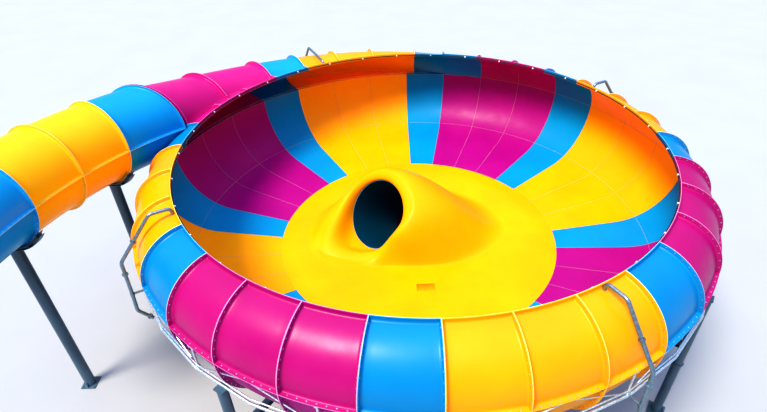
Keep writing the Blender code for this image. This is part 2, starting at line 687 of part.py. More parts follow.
def build_feed_supports(parts, materials):
    """A column with a curved saddle under two of the feed tube's ring flanges."""
    for index, joint in enumerate((1, 3)):
        centre, side, up, way = feed_frame(joint * FEED_SEGMENT)
        seat = BARREL_RADIUS + RIB_HEIGHT + GAP / math.cos(math.pi / FEED_SIDES)
        half = SADDLE_FACETS * math.pi / FEED_SIDES
        angles = np.linspace(-math.pi / 2 - half, -math.pi / 2 + half, SADDLE_FACETS + 1)
        spread = np.cos(angles)[:, None] * side + np.sin(angles)[:, None] * up
        rings = []
        for shift in (-SADDLE_WIDTH / 2.0, SADDLE_WIDTH / 2.0):
            inner = centre + shift * way + seat * spread
            outer = centre + shift * way + (seat + SADDLE_DEPTH) * spread
            rings.append([*inner, *outer[::-1]])
        saddle = loft(f"feed_column_{index + 1}", rings, parts)
        top = centre[2] - seat - SADDLE_DEPTH / 2.0
        post = cylinder("post", FEED_COLUMN_RADIUS, (centre[0], centre[1], PLATE_THICKNESS / 2.0), top, parts)
        plate = box("plate", (centre[0], centre[1], PLATE_THICKNESS / 2.0), (PLATE_SIZE, PLATE_SIZE, PLATE_THICKNESS),
                    0.0, parts)
        join_all(saddle, [post, plate])
        saddle.data.materials.append(materials["slate"])


def smooth_path(points, count):
    """Even points on a smooth curve through a few chosen ones."""
    points = np.array(points, dtype=float)
    ends = np.vstack([2 * points[0] - points[1], points, 2 * points[-1] - points[-2]])
    result = []
    for step in np.linspace(0.0, len(points) - 1.0, count):
        index = min(int(step), len(points) - 2)
        t = step - index
        a, b, c, d = ends[index:index + 4]
        result.append(0.5 * (2 * b + (c - a) * t + (2 * a - 5 * b + 4 * c - d) * t ** 2
                             + (3 * b - a - 3 * c + d) * t ** 3))
    return result


def pipe(name, points, radius, parts):
    """Round pipe through points, as a closed mesh."""
    curve = bpy.data.curves.new(name, "CURVE")
    curve.dimensions = "3D"
    curve.bevel_depth = radius
    curve.bevel_resolution = PIPE_SIDES // 4 - 1
    curve.use_fill_caps = True
    spline = curve.splines.new("POLY")
    spline.points.add(len(points) - 1)
    for target, point in zip(spline.points, points):
        target.co = (*point, 1.0)
    guide = bpy.data.objects.new(name + "_line", curve)
    parts.objects.link(guide)
    graph = bpy.context.evaluated_depsgraph_get()
    mesh = bpy.data.meshes.new_from_object(guide.evaluated_get(graph))
    bpy.data.objects.remove(guide, do_unlink=True)
    mesh_data = bmesh.new()
    mesh_data.from_mesh(mesh)
    return mesh_object(name, mesh_data, parts)


def pipe_top(bowl, centre):
    """Height at which a pipe's square end rests on the shell, found with rays from above."""
    down = Vector((0.0, 0.0, -1.0))
    heights = []
    for turn in np.linspace(0.0, 2.0 * math.pi, PIPE_SIDES, endpoint=False):
        start = Vector((centre[0] + PIPE_RADIUS * math.cos(turn), centre[1] + PIPE_RADIUS * math.sin(turn),
                        2.0 * RIM_HEIGHT))
        for piece in bowl.values():
            found, point, _, _ = piece.ray_cast(start, down)
            if found:
                heights.append(point.z)
    return max(heights) + PIPE_SEAT_GAP


def build_pipes(parts, materials, bowl):
    """Four water pipes that climb outside the bowl, held by an arm on the ring, and bend over its edge."""
    bpy.context.view_layer.update()
    flat = math.cos(math.pi / PANELS)
    mouth = RIM_RADIUS + PIPE_MOUTH_INSET
    for index in range(PIPES):
        panel = PIPE_FIRST_PANEL + index * PANELS / PIPES
        angle = seam_angle(panel)
        top = pipe_top(bowl, place(mouth * flat, angle, 0.0))
        spread, rise = 0.0, 0.0
        if panel > ENTRY_FIRST_SEAM:
            radius, height, _ = entry_centre(panel)
            spread, rise = radius - BARREL_CENTRE, height - SEAM_Z
        out = FLANGE_RADIUS + PIPE_CLEARANCE
        route = [(mouth + forth, top + lift) for forth, lift in PIPE_BEND]
        route[-1] = (route[-1][0] + spread, route[-1][1] + rise)
        shoulder, drop = PIPE_SHOULDER
        route += [(out + spread + shoulder, RIM_HEIGHT + rise + drop), (out + spread, RING_Z)]
        route += [(out + forth, RING_Z + lift) for forth, lift in PIPE_TAIL]
        points = [place(radius * flat, angle, height) for radius, height in route]
        path = [place(mouth * flat, angle, top), *smooth_path(points, PIPE_POINTS)]
        item = pipe(f"water_pipe_{index + 1}", path, PIPE_RADIUS, parts)
        start, end = (RING_RADIUS + RING_TUBE) * flat + GAP, (out + spread) * flat
        arm = box("arm", place((start + end) / 2.0, angle, RING_Z), (end - start, PIPE_RADIUS, PIPE_RADIUS),
                  angle, parts)
        join_all(item, [arm])
        item.data.materials.append(materials["galvanised"])


def stand_on_origin(parts):
    """Move everything sideways so that the box round the parts has its middle over the origin."""
    points = np.array([vertex.co for item in parts.objects for vertex in item.data.vertices])
    middle = (points.min(axis=0) + points.max(axis=0)) / 2.0
    for item in list(bpy.data.objects):
        item.location = (-middle[0], -middle[1], 0.0)


def main():
    """Build the whole slide."""
    clear_scene()
    parts = new_collection("bowl_water_slide")
    cutters = new_collection("cutters")
    materials = {name: make_material(name) for name in COLOURS}
    bowl = build_bowl(parts, materials)
    build_feed_tube(parts, cutters, materials, bowl)
    build_exit(parts, cutters, materials)
    build_steel(parts, materials)
    build_feed_supports(parts, materials)
    build_pipes(parts, materials, bowl)
    stand_on_origin(parts)


main()
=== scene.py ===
"""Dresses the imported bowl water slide: moulded panels, both tubes, exit bell, pipes and steel, in a studio.

The bowl's axis is vertical and goes through the middle of the centre disc. Shapes are worked out round that
axis, with Z = 0 on the ground, and moved to it when a mesh is made. Lengths are metres, and a finish number
picks from the list of finishes that its piece is made with.
"""
import logging
import math
from dataclasses import dataclass, field
from enum import Enum

import bpy
import numpy as np
from mathutils import Matrix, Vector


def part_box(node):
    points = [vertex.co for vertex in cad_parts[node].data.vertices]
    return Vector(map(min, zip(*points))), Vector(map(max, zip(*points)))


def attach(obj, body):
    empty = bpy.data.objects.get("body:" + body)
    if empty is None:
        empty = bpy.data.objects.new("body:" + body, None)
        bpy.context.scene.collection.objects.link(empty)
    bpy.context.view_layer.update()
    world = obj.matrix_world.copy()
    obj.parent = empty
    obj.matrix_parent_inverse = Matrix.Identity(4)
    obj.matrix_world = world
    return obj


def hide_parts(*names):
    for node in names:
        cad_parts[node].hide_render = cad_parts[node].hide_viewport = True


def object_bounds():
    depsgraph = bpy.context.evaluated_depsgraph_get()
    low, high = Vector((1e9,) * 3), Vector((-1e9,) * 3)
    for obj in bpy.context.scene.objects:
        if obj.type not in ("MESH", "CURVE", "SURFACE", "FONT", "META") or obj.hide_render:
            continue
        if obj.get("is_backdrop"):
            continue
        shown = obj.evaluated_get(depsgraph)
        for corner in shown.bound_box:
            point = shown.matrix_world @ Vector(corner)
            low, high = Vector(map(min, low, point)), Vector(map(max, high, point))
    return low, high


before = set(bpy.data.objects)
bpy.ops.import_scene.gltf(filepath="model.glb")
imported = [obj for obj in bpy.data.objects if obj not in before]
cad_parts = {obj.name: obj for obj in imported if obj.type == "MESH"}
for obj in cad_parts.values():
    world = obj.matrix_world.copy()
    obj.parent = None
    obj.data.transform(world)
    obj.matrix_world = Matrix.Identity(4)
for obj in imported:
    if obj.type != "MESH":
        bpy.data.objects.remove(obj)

log = logging.getLogger("bowl_slide")
Array = np.ndarray
Pair = tuple[float, float]
Triple = tuple[float, float, float]
Socket = bpy.types.NodeSocket
PANELS = 32
FIRST_SEAM = math.radians(168.11)
UP = np.array([0.0, 0.0, 1.0])


class Tint(Enum):
    """The three gelcoat colours of the moulded panels, by the names of their material slots."""

    YELLOW = "yellow"
    MAGENTA = "magenta"
    BLUE = "blue"


NUMBER = {tint: number for number, tint in enumerate(Tint)}

# Colours, node trees and finishes


def linear(code: str) -> tuple[float, float, float, float]:
    """Turn a hex sRGB colour into a linear one.

    Args:
        code: Colour as #RRGGBB.

    Returns:
        Linear red, green and blue, and an alpha of 1.
    """
    channels = np.array([int(code[i:i + 2], 16) for i in (1, 3, 5)]) / 255.0
    curved = np.where(channels <= 0.04045, channels / 12.92, ((channels + 0.055) / 1.055) ** 2.4)
    return (*(float(value) for value in curved), 1.0)


def add_node(tree: bpy.types.NodeTree, kind: str, settings: dict | None = None,
             links: dict | None = None) -> bpy.types.Node:
    """Add a node with its settings and its incoming links.

    Args:
        tree: Node tree that gets the node.
        kind: Blender's name of the node type.
        settings: Properties by their name, and unlinked sockets by their label or number.
        links: Sockets of other nodes by the label or number of the input that they feed.

    Returns:
        The new node.
    """
    node = tree.nodes.new(kind)
    for name, value in (settings or {}).items():
        if isinstance(name, str) and hasattr(node, name):
            setattr(node, name, value)
        else:
            node.inputs[name].default_value = value
    for name, socket in (links or {}).items():
        tree.links.new(socket, node.inputs[name])
    return node


@dataclass(frozen=True)
class Recipe:
    """Node tree of a material in the making, with short ways to what the finishes need."""

    tree: bpy.types.NodeTree

    def put(self, name: str, value: Socket | float) -> None:
        """Give an input of the Principled shader its value.

        Args:
            name: Label of the input.
            value: A constant, or another node's output.
        """
        target = self.tree.nodes["Principled BSDF"].inputs[name]
        if isinstance(value, float):
            target.default_value = value
        else:
            self.tree.links.new(value, target)

    def place(self) -> Socket:
        """Place on the object, in metres."""
        return add_node(self.tree, "ShaderNodeTexCoord").outputs["Object"]

    def noise(self, size: float, detail: float, stretch: Triple = (1.0, 1.0, 1.0)) -> Socket:
        """Noise whose blobs have a real size.

        Args:
            size: Size of a blob in metres.
            detail: How many finer octaves it has.
            stretch: How much longer the blobs are along X, Y and Z.

        Returns:
            The noise's value, from 0 to 1.
        """
        scale = {"Scale": tuple(1.0 / part for part in stretch)}
        moved = add_node(self.tree, "ShaderNodeMapping", scale, {"Vector": self.place()}).outputs["Vector"]
        settings = {"Scale": 1.0 / size, "Detail": detail}
        return add_node(self.tree, "ShaderNodeTexNoise", settings, {"Vector": moved}).outputs["Fac"]

    def spread(self, value: Socket, source: Pair, target: Pair = (0.0, 1.0)) -> Socket:
        """Map a value from a source range to a target range."""
        settings = {"From Min": source[0], "From Max": source[1], "To Min": target[0], "To Max": target[1]}
        return add_node(self.tree, "ShaderNodeMapRange", settings, {"Value": value}).outputs["Result"]

    def colour(self, share: Socket, first: str, second: str) -> None:
        """Mix two hex colours by the share of the second one, as the base colour."""
        settings = {"data_type": "RGBA", 6: linear(first), 7: linear(second)}
        self.put("Base Color", add_node(self.tree, "ShaderNodeMix", settings, {0: share}).outputs[2])

    def relief(self, *layers: tuple[Socket, float, float]) -> None:
        """Give the shader a bump of several layers.

        Args:
            layers: For each layer its height socket, its height in metres and its strength.
        """
        links = {}
        for height, depth, strength in layers:
            settings = {"Distance": depth, "Strength": strength}
            bump = add_node(self.tree, "ShaderNodeBump", settings, {"Height": height, **links})
            links = {"Normal": bump.outputs["Normal"]}
        self.put("Normal", links["Normal"])


@dataclass(frozen=True)
class Finish:
    """A surface finish; each kind of finish fills in its own nodes."""

    name: str

    def make(self) -> bpy.types.Material:
        """Make the material, or find the one made before.

        Returns:
            The Blender material with its nodes.
        """
        material = bpy.data.materials.get(self.name)
        if material is None:
            material = bpy.data.materials.new(self.name)
            material.use_nodes = True
            self.fill(Recipe(material.node_tree))
        return material

    def fill(self, recipe: Recipe) -> None:
        """Add this finish's nodes to the recipe."""
        raise NotImplementedError


@dataclass(frozen=True)
class Gelcoat(Finish):
    """Isophthalic gelcoat on moulded glass-fibre laminate.

    It gives the eye a deep even colour with a soft gloss, slightly mottled by the sun, and slow waves where
    the laminate prints through. Wet faces have less of a coat and finer ripples of running water.
    """

    colour: str
    faded: str
    wet: bool = False

    def fill(self, recipe: Recipe) -> None:
        """Set colour, gloss and waviness.

        Args:
            recipe: Node tree that gets the nodes.
        """
        recipe.colour(recipe.spread(recipe.noise(1.6, 3.0), (0.35, 0.75)), self.colour, self.faded)
        recipe.put("IOR", 1.53)
        recipe.put("Specular IOR Level", 0.12 if self.wet else 0.22)
        recipe.put("Coat Weight", 0.03 if self.wet else 0.08)
        recipe.put("Coat Roughness", 0.22)
        waves = [(recipe.noise(0.45, 1.0), 0.02, 0.12)]
        if self.wet:
            recipe.put("Roughness", recipe.spread(recipe.noise(0.7, 3.0), (0.3, 0.7), (0.34, 0.5)))
            waves.append((recipe.noise(0.16, 2.0, (1.0, 1.0, 2.5)), 0.01, 0.25))
        else:
            recipe.put("Roughness", recipe.spread(recipe.noise(0.5, 3.0), (0.3, 0.7), (0.32, 0.42)))
        recipe.relief(*waves)


@dataclass(frozen=True)
class Toned(Finish):
    """Two close tones blended by noise, at one roughness and perhaps with a fine grain in relief."""

    tone: str
    other: str
    blob: float = 0.03
    detail: float = 3.0
    source: Pair = (0.3, 0.7)
    roughness: float = 0.6
    grain: float = 0.0

    def fill(self, recipe: Recipe) -> None:
        """Set tones, roughness and grain.

        Args:
            recipe: Node tree that gets the nodes.
        """
        share = recipe.spread(recipe.noise(self.blob, self.detail), self.source)
        recipe.colour(share, self.tone, self.other)
        recipe.put("Roughness", self.roughness)
        if self.grain:
            recipe.relief((recipe.noise(self.grain, 2.0), 0.002, 0.3))


@dataclass(frozen=True)
class LaminateEdge(Toned):
    """Sawn edge of a glass-fibre flange under sealant: a thin pale matt line with darker fibre specks. On the
    flange tops its pale tint also stands for a painted highlight along the edge.
    """

    grain: float = 0.012


@dataclass(frozen=True)
class Rubber(Toned):
    """Black EPDM hose: nearly black, with a soft sheen and slightly chalky."""

    blob: float = 0.06
    roughness: float = 0.55


@dataclass(frozen=True)
class Nylon(Toned):
    """Natural polyamide of moulded clips: off-white and waxy."""

    blob: float = 0.02
    detail: float = 1.0
    source: Pair = (0.0, 1.0)
    roughness: float = 0.4


@dataclass(frozen=True)
class Screed(Toned):
    """Studio floor: smooth pale matt screed with hardly any pattern."""

    blob: float = 4.0
    source: Pair = (0.0, 1.0)
    roughness: float = 0.85


@dataclass(frozen=True)
class GalvanisedSteel(Finish):
    """Hot-dip galvanised steel: dull grey metal with a spangle of lighter and darker zinc crystals."""

    dark: str = "#9AA9B3"
    light: str = "#C3CDD3"
    crystal: float = 0.03

    def fill(self, recipe: Recipe) -> None:
        """Set spangled zinc.

        Args:
            recipe: Node tree that gets the nodes.
        """
        crystals = add_node(recipe.tree, "ShaderNodeTexVoronoi", {"Scale": 1.0 / self.crystal},
                            {"Vector": recipe.place()})
        parts = add_node(recipe.tree, "ShaderNodeSeparateColor", {}, {"Color": crystals.outputs["Color"]})
        spangle = parts.outputs["Red"]
        recipe.colour(spangle, self.dark, self.light)
        recipe.put("Metallic", 0.85)
        recipe.put("Roughness", recipe.spread(spangle, (0.0, 1.0), (0.34, 0.5)))
        recipe.relief((recipe.noise(0.05, 3.0), 0.002, 0.2))


@dataclass(frozen=True)
class PaintedSteel(Finish):
    """Two-pack paint on structural steel: slate blue satin with light orange peel and dusty patches."""

    clean: str = "#3B5464"
    dusty: str = "#536E7E"

    def fill(self, recipe: Recipe) -> None:
        """Set satin paint.

        Args:
            recipe: Node tree that gets the nodes.
        """
        dust = recipe.spread(recipe.noise(0.8, 4.0, (1.0, 1.0, 3.0)), (0.4, 0.75))
        recipe.colour(dust, self.clean, self.dusty)
        recipe.put("Roughness", recipe.spread(dust, (0.0, 1.0), (0.32, 0.5)))
        recipe.relief((recipe.noise(0.02, 2.0), 0.001, 0.2))


GELCOATS = {
    Tint.YELLOW: Gelcoat("yellow gelcoat", "#FF9A00", "#FFA400"),
    Tint.MAGENTA: Gelcoat("magenta gelcoat", "#A40A68", "#AC106E"),
    Tint.BLUE: Gelcoat("blue gelcoat", "#007CB2", "#0084BA"),
}
# Lighter copies of the gelcoats for the feed tube and the entry hood: a painted highlight for the brighter
# light on them; the real gelcoat there is the same as elsewhere.
SUNLIT_GELCOATS = {
    Tint.YELLOW: Gelcoat("sunlit yellow gelcoat", "#FFB200", "#FFBC00"),
    Tint.MAGENTA: Gelcoat("sunlit magenta gelcoat", "#C01078", "#C8167E"),
    Tint.BLUE: Gelcoat("sunlit blue gelcoat", "#0090CC", "#0098D4"),
}
WET_GELCOATS = {
    Tint.YELLOW: Gelcoat("wet yellow gelcoat", "#FFA300", "#FFAC00", True),
    Tint.MAGENTA: Gelcoat("wet magenta gelcoat", "#9E0A78", "#A6107E", True),
    Tint.BLUE: Gelcoat("wet blue gelcoat", "#0087BC", "#008FC4", True),
}
# Darker copies of the wet gelcoats for the exit tube's inside: painted shade, since little light reaches into
# the tube; the yellow stays the plain wet one.
SHADED_TUBE_INSIDES = {
    Tint.YELLOW: WET_GELCOATS[Tint.YELLOW],
    Tint.MAGENTA: Gelcoat("painted shade magenta gelcoat", "#5A0640", "#660C4A", True),
    Tint.BLUE: Gelcoat("painted shade blue gelcoat", "#00485E", "#005068", True),
}
# Pale tinted lines on the flange tops: the sawn laminate edge, lighter in each panel's own tint as a painted
# highlight along the edge.
LIT_LAMINATE_EDGES = {
    Tint.YELLOW: LaminateEdge("yellow laminate edge and highlight", "#FFE88A", "#F2CE50"),
    Tint.MAGENTA: LaminateEdge("magenta laminate edge and highlight", "#F0B4D8", "#DE8CBE"),
    Tint.BLUE: LaminateEdge("blue laminate edge and highlight", "#AEE0F4", "#7CC4E4"),
}
SEALANT = LaminateEdge("pale sealant", "#BCA298", "#A88E84")
ZINC = GalvanisedSteel("galvanised steel", "#B8C6CE", "#E6EEF1")
DULL_ZINC = GalvanisedSteel("weathered galvanised steel", "#6E8796", "#93A6B2")
BOLT = GalvanisedSteel("galvanised bolts")
SLATE = PaintedSteel("slate painted steel")
GRATING = Gelcoat("ochre moulded grating", "#D98E00", "#C47C00", True)
HOSE = Rubber("black rubber", "#121416", "#26282B")
CLIP = Nylon("white nylon", "#F4F4EE", "#E4E2D6")
SCREED = Screed("pale screed", "#ACAEB0", "#A4A6A9")


def by_number(*kinds: dict[Tint, Finish]) -> list[Finish]:
    """Finishes of each kind in the order of the tints, so that the next kind's numbers are three higher."""
    return [kind[tint] for kind in kinds for tint in Tint]


# Surfaces as arrays


def full_turn(count: int) -> Array:
    """Even angles round a circle, the first one not repeated."""
    return np.linspace(0.0, 2.0 * math.pi, count, endpoint=False)


def seam_angle(seam: Array | float) -> Array | float:
    """Azimuth in radians of a seam between two panels."""
    return FIRST_SEAM + 2.0 * math.pi / PANELS * seam


def polar(radius: Array | float, angle: Array | float, height: Array | float) -> Array:
    """Points, or directions, at radii, azimuths and heights round the bowl's axis, with X, Y and Z last."""
    radius, angle, height = np.broadcast_arrays(radius, angle, height)
    return np.stack([radius * np.cos(angle), radius * np.sin(angle), height], axis=-1)


def compass(angle: Array | float) -> tuple[Array, Array]:
    """Level directions away from the axis and round it, at azimuths."""
    return polar(1.0, angle, 0.0), polar(1.0, angle + math.pi / 2.0, 0.0)


def rays(turn: Array | float, side: Array, high: Array) -> Array:
    """Directions at angles from one direction towards another one at right angles to it."""
    turn = np.asarray(turn)[..., None]
    return np.cos(turn) * side + np.sin(turn) * high


def unit(vectors: Array) -> Array:
    """Vectors of length 1."""
    return vectors / np.linalg.norm(vectors, axis=-1, keepdims=True)


def sampled(distance: Array | float, steps: Array, values: Array) -> Array:
    """Rows of a table of values at distances, interpolated between the steps that its rows stand for."""
    return np.stack([np.interp(distance, steps, column) for column in values.T], axis=-1)


def bezier(count: int, *controls: Array) -> Array:
    """Bezier curves as sums of Bernstein polynomials.

    Args:
        count: Number of points on each curve.
        controls: Control points from start to end, each with a row for every curve.

    Returns:
        The points, with the place on the curve first.
    """
    share = np.linspace(0.0, 1.0, count)[:, None, None]
    degree = len(controls) - 1
    return sum(math.comb(degree, k) * (1.0 - share) ** (degree - k) * share ** k * control
               for k, control in enumerate(controls))


def highest(*lifts: Array) -> Array:
    """Highest of several fields that may have one row or one column."""
    return np.maximum.reduce(np.broadcast_arrays(*lifts))


@dataclass
class Surface:
    """Points and faces of a mesh in the making, with a finish number for each face."""

    points: Array
    faces: list[Array]
    finishes: list[Array]

    @staticmethod
    def closed(points: Array, groups: list[Array], finish: int = 0) -> "Surface":
        """Closed body of one finish whose faces point outwards.

        The signed volume is the sum over the faces' triangles of the triple product of their corners. Where
        it is negative, every face is read backwards.

        Args:
            points: Corner points.
            groups: Arrays of faces, each array with its own number of corners.
            finish: Finish number.

        Returns:
            The body.
        """
        centred = points - points.mean(axis=0)
        volume = 0.0
        for group in groups:
            for corner in range(1, group.shape[1] - 1):
                first, second, third = (centred[group[:, i]] for i in (0, corner, corner + 1))
                volume += float(np.sum(first * np.cross(second, third)))
        faces = groups if volume > 0 else [group[:, ::-1] for group in groups]
        return Surface(points, faces, [np.full(len(group), finish) for group in faces])

    @staticmethod
    def joined(parts: list["Surface"]) -> "Surface":
        """Put several surfaces into one.

        Args:
            parts: The surfaces.

        Returns:
            One surface with all their faces.
        """
        starts = np.cumsum([0] + [len(part.points) for part in parts])
        faces = [group + start for part, start in zip(parts, starts) for group in part.faces]
        finishes = [group for part in parts for group in part.finishes]
        return Surface(np.concatenate([part.points for part in parts]), faces, finishes)


def grid_quads(rows: int, columns: int, wrap: bool = False) -> Array:
    """Faces of a grid of points.

    Args:
        rows: Number of rows of points.
        columns: Number of points in a row.
        wrap: Whether each row closes on itself.

    Returns:
        Four corner numbers for each face.
    """
    index = np.arange(rows * columns).reshape(rows, columns)
    if wrap:
        index = np.concatenate([index, index[:, :1]], axis=1)
    corners = (index[:-1, :-1], index[1:, :-1], index[1:, 1:], index[:-1, 1:])
    return np.stack([corner.ravel() for corner in corners], axis=1)


def closed_sheet(outer: Array, inner: Array, finish: Array | int = 0) -> Surface:
    """Shell between two grids of points, closed along its four borders.

    Args:
        outer: Grid of outer points, rows by columns by 3.
        inner: Grid of inner points of the same shape.
        finish: Finish number of all faces, or one for each face of the outer grid.

    Returns:
        The shell, with the outer grid's most common finish on its other faces.
    """
    rows, columns = outer.shape[:2]
    front = np.arange(rows * columns).reshape(rows, columns)
    outside = grid_quads(rows, columns)
    sides = []
    for line in (front[0], front[-1][::-1], front[:, 0][::-1], front[:, -1]):
        mate = line + rows * columns
        sides.append(np.stack([line[:-1], line[1:], mate[1:], mate[:-1]], axis=1))
    groups = [outside, outside[:, ::-1] + rows * columns, np.concatenate(sides)]
    points = np.concatenate([outer.reshape(-1, 3), inner.reshape(-1, 3)])
    shell = Surface.closed(points, groups, int(np.bincount(np.ravel(finish)).argmax()))
    shell.finishes[0] = np.broadcast_to(finish, len(outside))
    return shell


def capped(rings: Array) -> Surface:
    """Body made of rings of points, with a fan round the middle of its first and of its last ring.

    Args:
        rings: The points, rings by corners by 3.

    Returns:
        The closed body.
    """
    rows, columns = rings.shape[:2]
    points = np.concatenate([rings.reshape(-1, 3), rings[:1].mean(axis=1), rings[-1:].mean(axis=1)])
    ring, last = np.arange(columns), (rows - 1) * columns
    following = np.roll(ring, -1)
    start, end = np.full(columns, rows * columns), np.full(columns, rows * columns + 1)
    caps = np.concatenate([np.stack([start, ring, following], axis=1),
                           np.stack([end, following + last, ring + last], axis=1)])
    return Surface.closed(points, [grid_quads(rows, columns, wrap=True), caps])


def swept(path: Array, side: Array, outline: Array, closed: bool = False) -> Surface:
    """A closed outline carried along a path.

    Each point of the path gets the outline in the plane of its side direction and of the direction that is
    at right angles to both that and the path.

    Args:
        path: Points of the path.
        side: Side direction at each point, or one for all.
        outline: Points of the outline as side and up distances, anticlockwise.
        closed: Whether the path closes on itself.

    Returns:
        The closed surface, with flat ends where the path is open.
    """
    if closed:
        way = unit(np.roll(path, -1, axis=0) - np.roll(path, 1, axis=0))
    else:
        way = unit(np.gradient(path, axis=0))
    side = unit(side - np.sum(side * way, axis=1, keepdims=True) * way)
    high = np.cross(way, side)
    rings = path[:, None] + outline[None, :, :1] * side[:, None] + outline[None, :, 1:] * high[:, None]
    if not closed:
        return capped(rings)
    rows, columns = rings.shape[:2]
    quads = grid_quads(rows + 1, columns, wrap=True) % (rows * columns)
    return Surface.closed(rings.reshape(-1, 3), [quads])


def bar(start: Array, end: Array, outline: Array, side: Array) -> Surface:
    """Straight member whose cross-section has its side distances along one direction."""
    return swept(np.stack([start, end]), side, outline)


def upright(foot: Array, low: float, high: float, outline: Array, side: Array) -> Surface:
    """Upright member between two heights over a point."""
    return bar(foot + low * UP, foot + high * UP, outline, side)


def slab(outline: list[Array], depth: Array) -> Surface:
    """Flat plate: a convex outline of corners in space, made thick by half of a vector to both sides."""
    return capped(np.stack([np.array(outline) - depth / 2.0, np.array(outline) + depth / 2.0]))


def round_outline(radius: float, sides: int) -> Array:
    """Circle as side and up distances, anticlockwise."""
    turn = full_turn(sides)
    return radius * np.stack([np.cos(turn), np.sin(turn)], axis=1)


def block_outline(width: float, height: float, cut: float) -> Array:
    """Rectangle with cut corners, as side and up distances.

    Args:
        width: Width from side to side.
        height: Height.
        cut: How much is cut off each corner.

    Returns:
        The eight corners, anticlockwise.
    """
    wide, tall = width / 2.0, height / 2.0
    right = [(wide, cut - tall), (wide, tall - cut), (wide - cut, tall), (cut - wide, tall)]
    return np.array(right + [(-side, -up) for side, up in right])


def beam_outline(width: float, height: float, web: float, flange: float) -> Array:
    """Cross-section of a rolled I-beam, as side and up distances.

    Args:
        width: Width of its flanges.
        height: Its height.
        web: Thickness of its web.
        flange: Thickness of its flanges.

    Returns:
        The twelve corners, anticlockwise.
    """
    wide, tall, thin = width / 2.0, height / 2.0, web / 2.0
    right = [(wide, -tall), (wide, flange - tall), (thin, flange - tall), (thin, tall - flange),
             (wide, tall - flange), (wide, tall)]
    return np.array(right + [(-side, -up) for side, up in right])


def rolled_beam(start: Array, end: Array, side: Array, width: float, height: float) -> Surface:
    """Rolled I-beam of two flanges and a web that reaches a little into them.

    Args:
        start: Middle of its first end.
        end: Middle of its other end.
        side: Level direction across it.
        width: Width of its flanges.
        height: Its height.

    Returns:
        The beam as three closed plates.
    """
    flange, web, nick = 0.018, 0.012, 0.002
    offset = (height - flange) / 2.0 * UP
    plate = block_outline(width, flange, 0.003)
    return Surface.joined([
        bar(start + offset, end + offset, plate, side), bar(start - offset, end - offset, plate, side),
        bar(start, end, block_outline(web, height - 2.0 * flange + nick, 0.001), side)])


def copies(shape: Surface, origins: Array, along: Array, across: Array) -> Surface:
    """Copies of one small shape, each with its own place and directions.

    Args:
        shape: The shape, made along Z round the origin.
        origins: Place of each copy.
        along: Direction that the shape's Z gets, for each copy or for all.
        across: Rough direction of the shape's X, for each copy or for all.

    Returns:
        All copies in one surface.
    """
    along = unit(np.broadcast_to(along, origins.shape))
    across = unit(across - np.sum(across * along, axis=1, keepdims=True) * along)
    turned = np.stack([across, np.cross(along, across), along], axis=1)
    points = origins[:, None] + np.einsum("pi,nij->npj", shape.points, turned)
    steps = np.arange(len(origins))[:, None, None] * len(shape.points)
    faces = [(group[None] + steps).reshape(-1, group.shape[1]) for group in shape.faces]
    return Surface(points.reshape(-1, 3), faces, [np.zeros(len(group), dtype=int) for group in faces])


def hex_bolt(radius: float = 0.016, height: float = 0.012) -> Surface:
    """Hexagonal bolt head on a washer, as a stack of hexagons along Z from the origin.

    Args:
        radius: Radius of the head's corners.
        height: Height of head and washer.

    Returns:
        The closed head.
    """
    levels = np.array([(1.5, 0.0), (1.5, 0.25), (1.0, 0.25), (1.0, 0.9), (0.8, 1.0)])
    rings = polar(radius * levels[:, :1], full_turn(6), height * levels[:, 1:])
    ring = np.arange(6)
    caps = np.array([ring[::-1], ring + 6 * (len(levels) - 1)])
    return Surface.closed(rings.reshape(-1, 3), [grid_quads(len(levels), 6, wrap=True), caps])


@dataclass
class Workshop:
    """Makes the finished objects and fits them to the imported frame."""

    axis: Pair
    made: int = 0

    def add(self, name: str, parts: list[Surface], finishes: list[Finish], replaces: tuple[str, ...] = (),
            slot: str | None = None, smooth: float = 40.0) -> None:
        """Make an object of some surfaces and let it ride on the fixed plant.

        Args:
            name: Name of the piece.
            parts: Its surfaces, round the bowl's axis.
            finishes: Finishes by number.
            replaces: CAD nodes that it stands for.
            slot: Material slot of the record; not used.
            smooth: Edges sharper than this many degrees stay sharp.
        """
        surface = Surface.joined(parts)
        points = surface.points + np.array([*self.axis, 0.0])
        faces = [face for group in surface.faces for face in group.tolist()]
        mesh = bpy.data.meshes.new(name)
        mesh.from_pydata(points.tolist(), [], faces)
        mesh.polygons.foreach_set("material_index", np.concatenate(surface.finishes).astype(np.int32))
        mesh.polygons.foreach_set("use_smooth", np.ones(len(mesh.polygons), dtype=bool))
        mesh.set_sharp_from_angle(angle=math.radians(smooth))
        for finish in finishes:
            mesh.materials.append(finish.make())
        mesh.update()
        item = bpy.data.objects.new(name, mesh)
        bpy.context.scene.collection.objects.link(item)
        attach(item, "root")
        if replaces:
            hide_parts(*replaces)
        self.made += 1
        log.info("%s: %d faces", name, len(mesh.polygons))


# The bowl's shape


@dataclass(frozen=True)
class FlangeShape:
    """Cross-section of a moulded panel's flange, by distances from the joint and heights over the shell."""

    thickness: float = 0.03
    height: float = 0.15
    gap: float = 0.0015
    seal: float = 0.013
    fillet: float = 0.085

    def lines(self) -> Array:
        """Distances from the joint at which the surface bends."""
        rest = np.array([0.0, 0.003, 0.012, 0.03, 0.055, self.fillet])
        return np.concatenate([[self.gap, self.seal, self.thickness - 0.005], self.thickness + rest])

    def lift(self, distance: Array) -> Array:
        """Height over the shell: a level top, a steep side, and a fillet that runs out into the panel.

        Args:
            distance: Distances from the joint.

        Returns:
            Heights of the surface.
        """
        tall = self.height
        heights = [tall, tall, tall, tall - 0.006, 0.055, 0.032, 0.014, 0.004, 0.0]
        return np.interp(distance, self.lines(), heights)


RIB = FlangeShape()
RIM = FlangeShape(thickness=0.04)
LEDGE = FlangeShape(thickness=0.025, fillet=0.07)
TUBE_RING = FlangeShape(height=0.112)


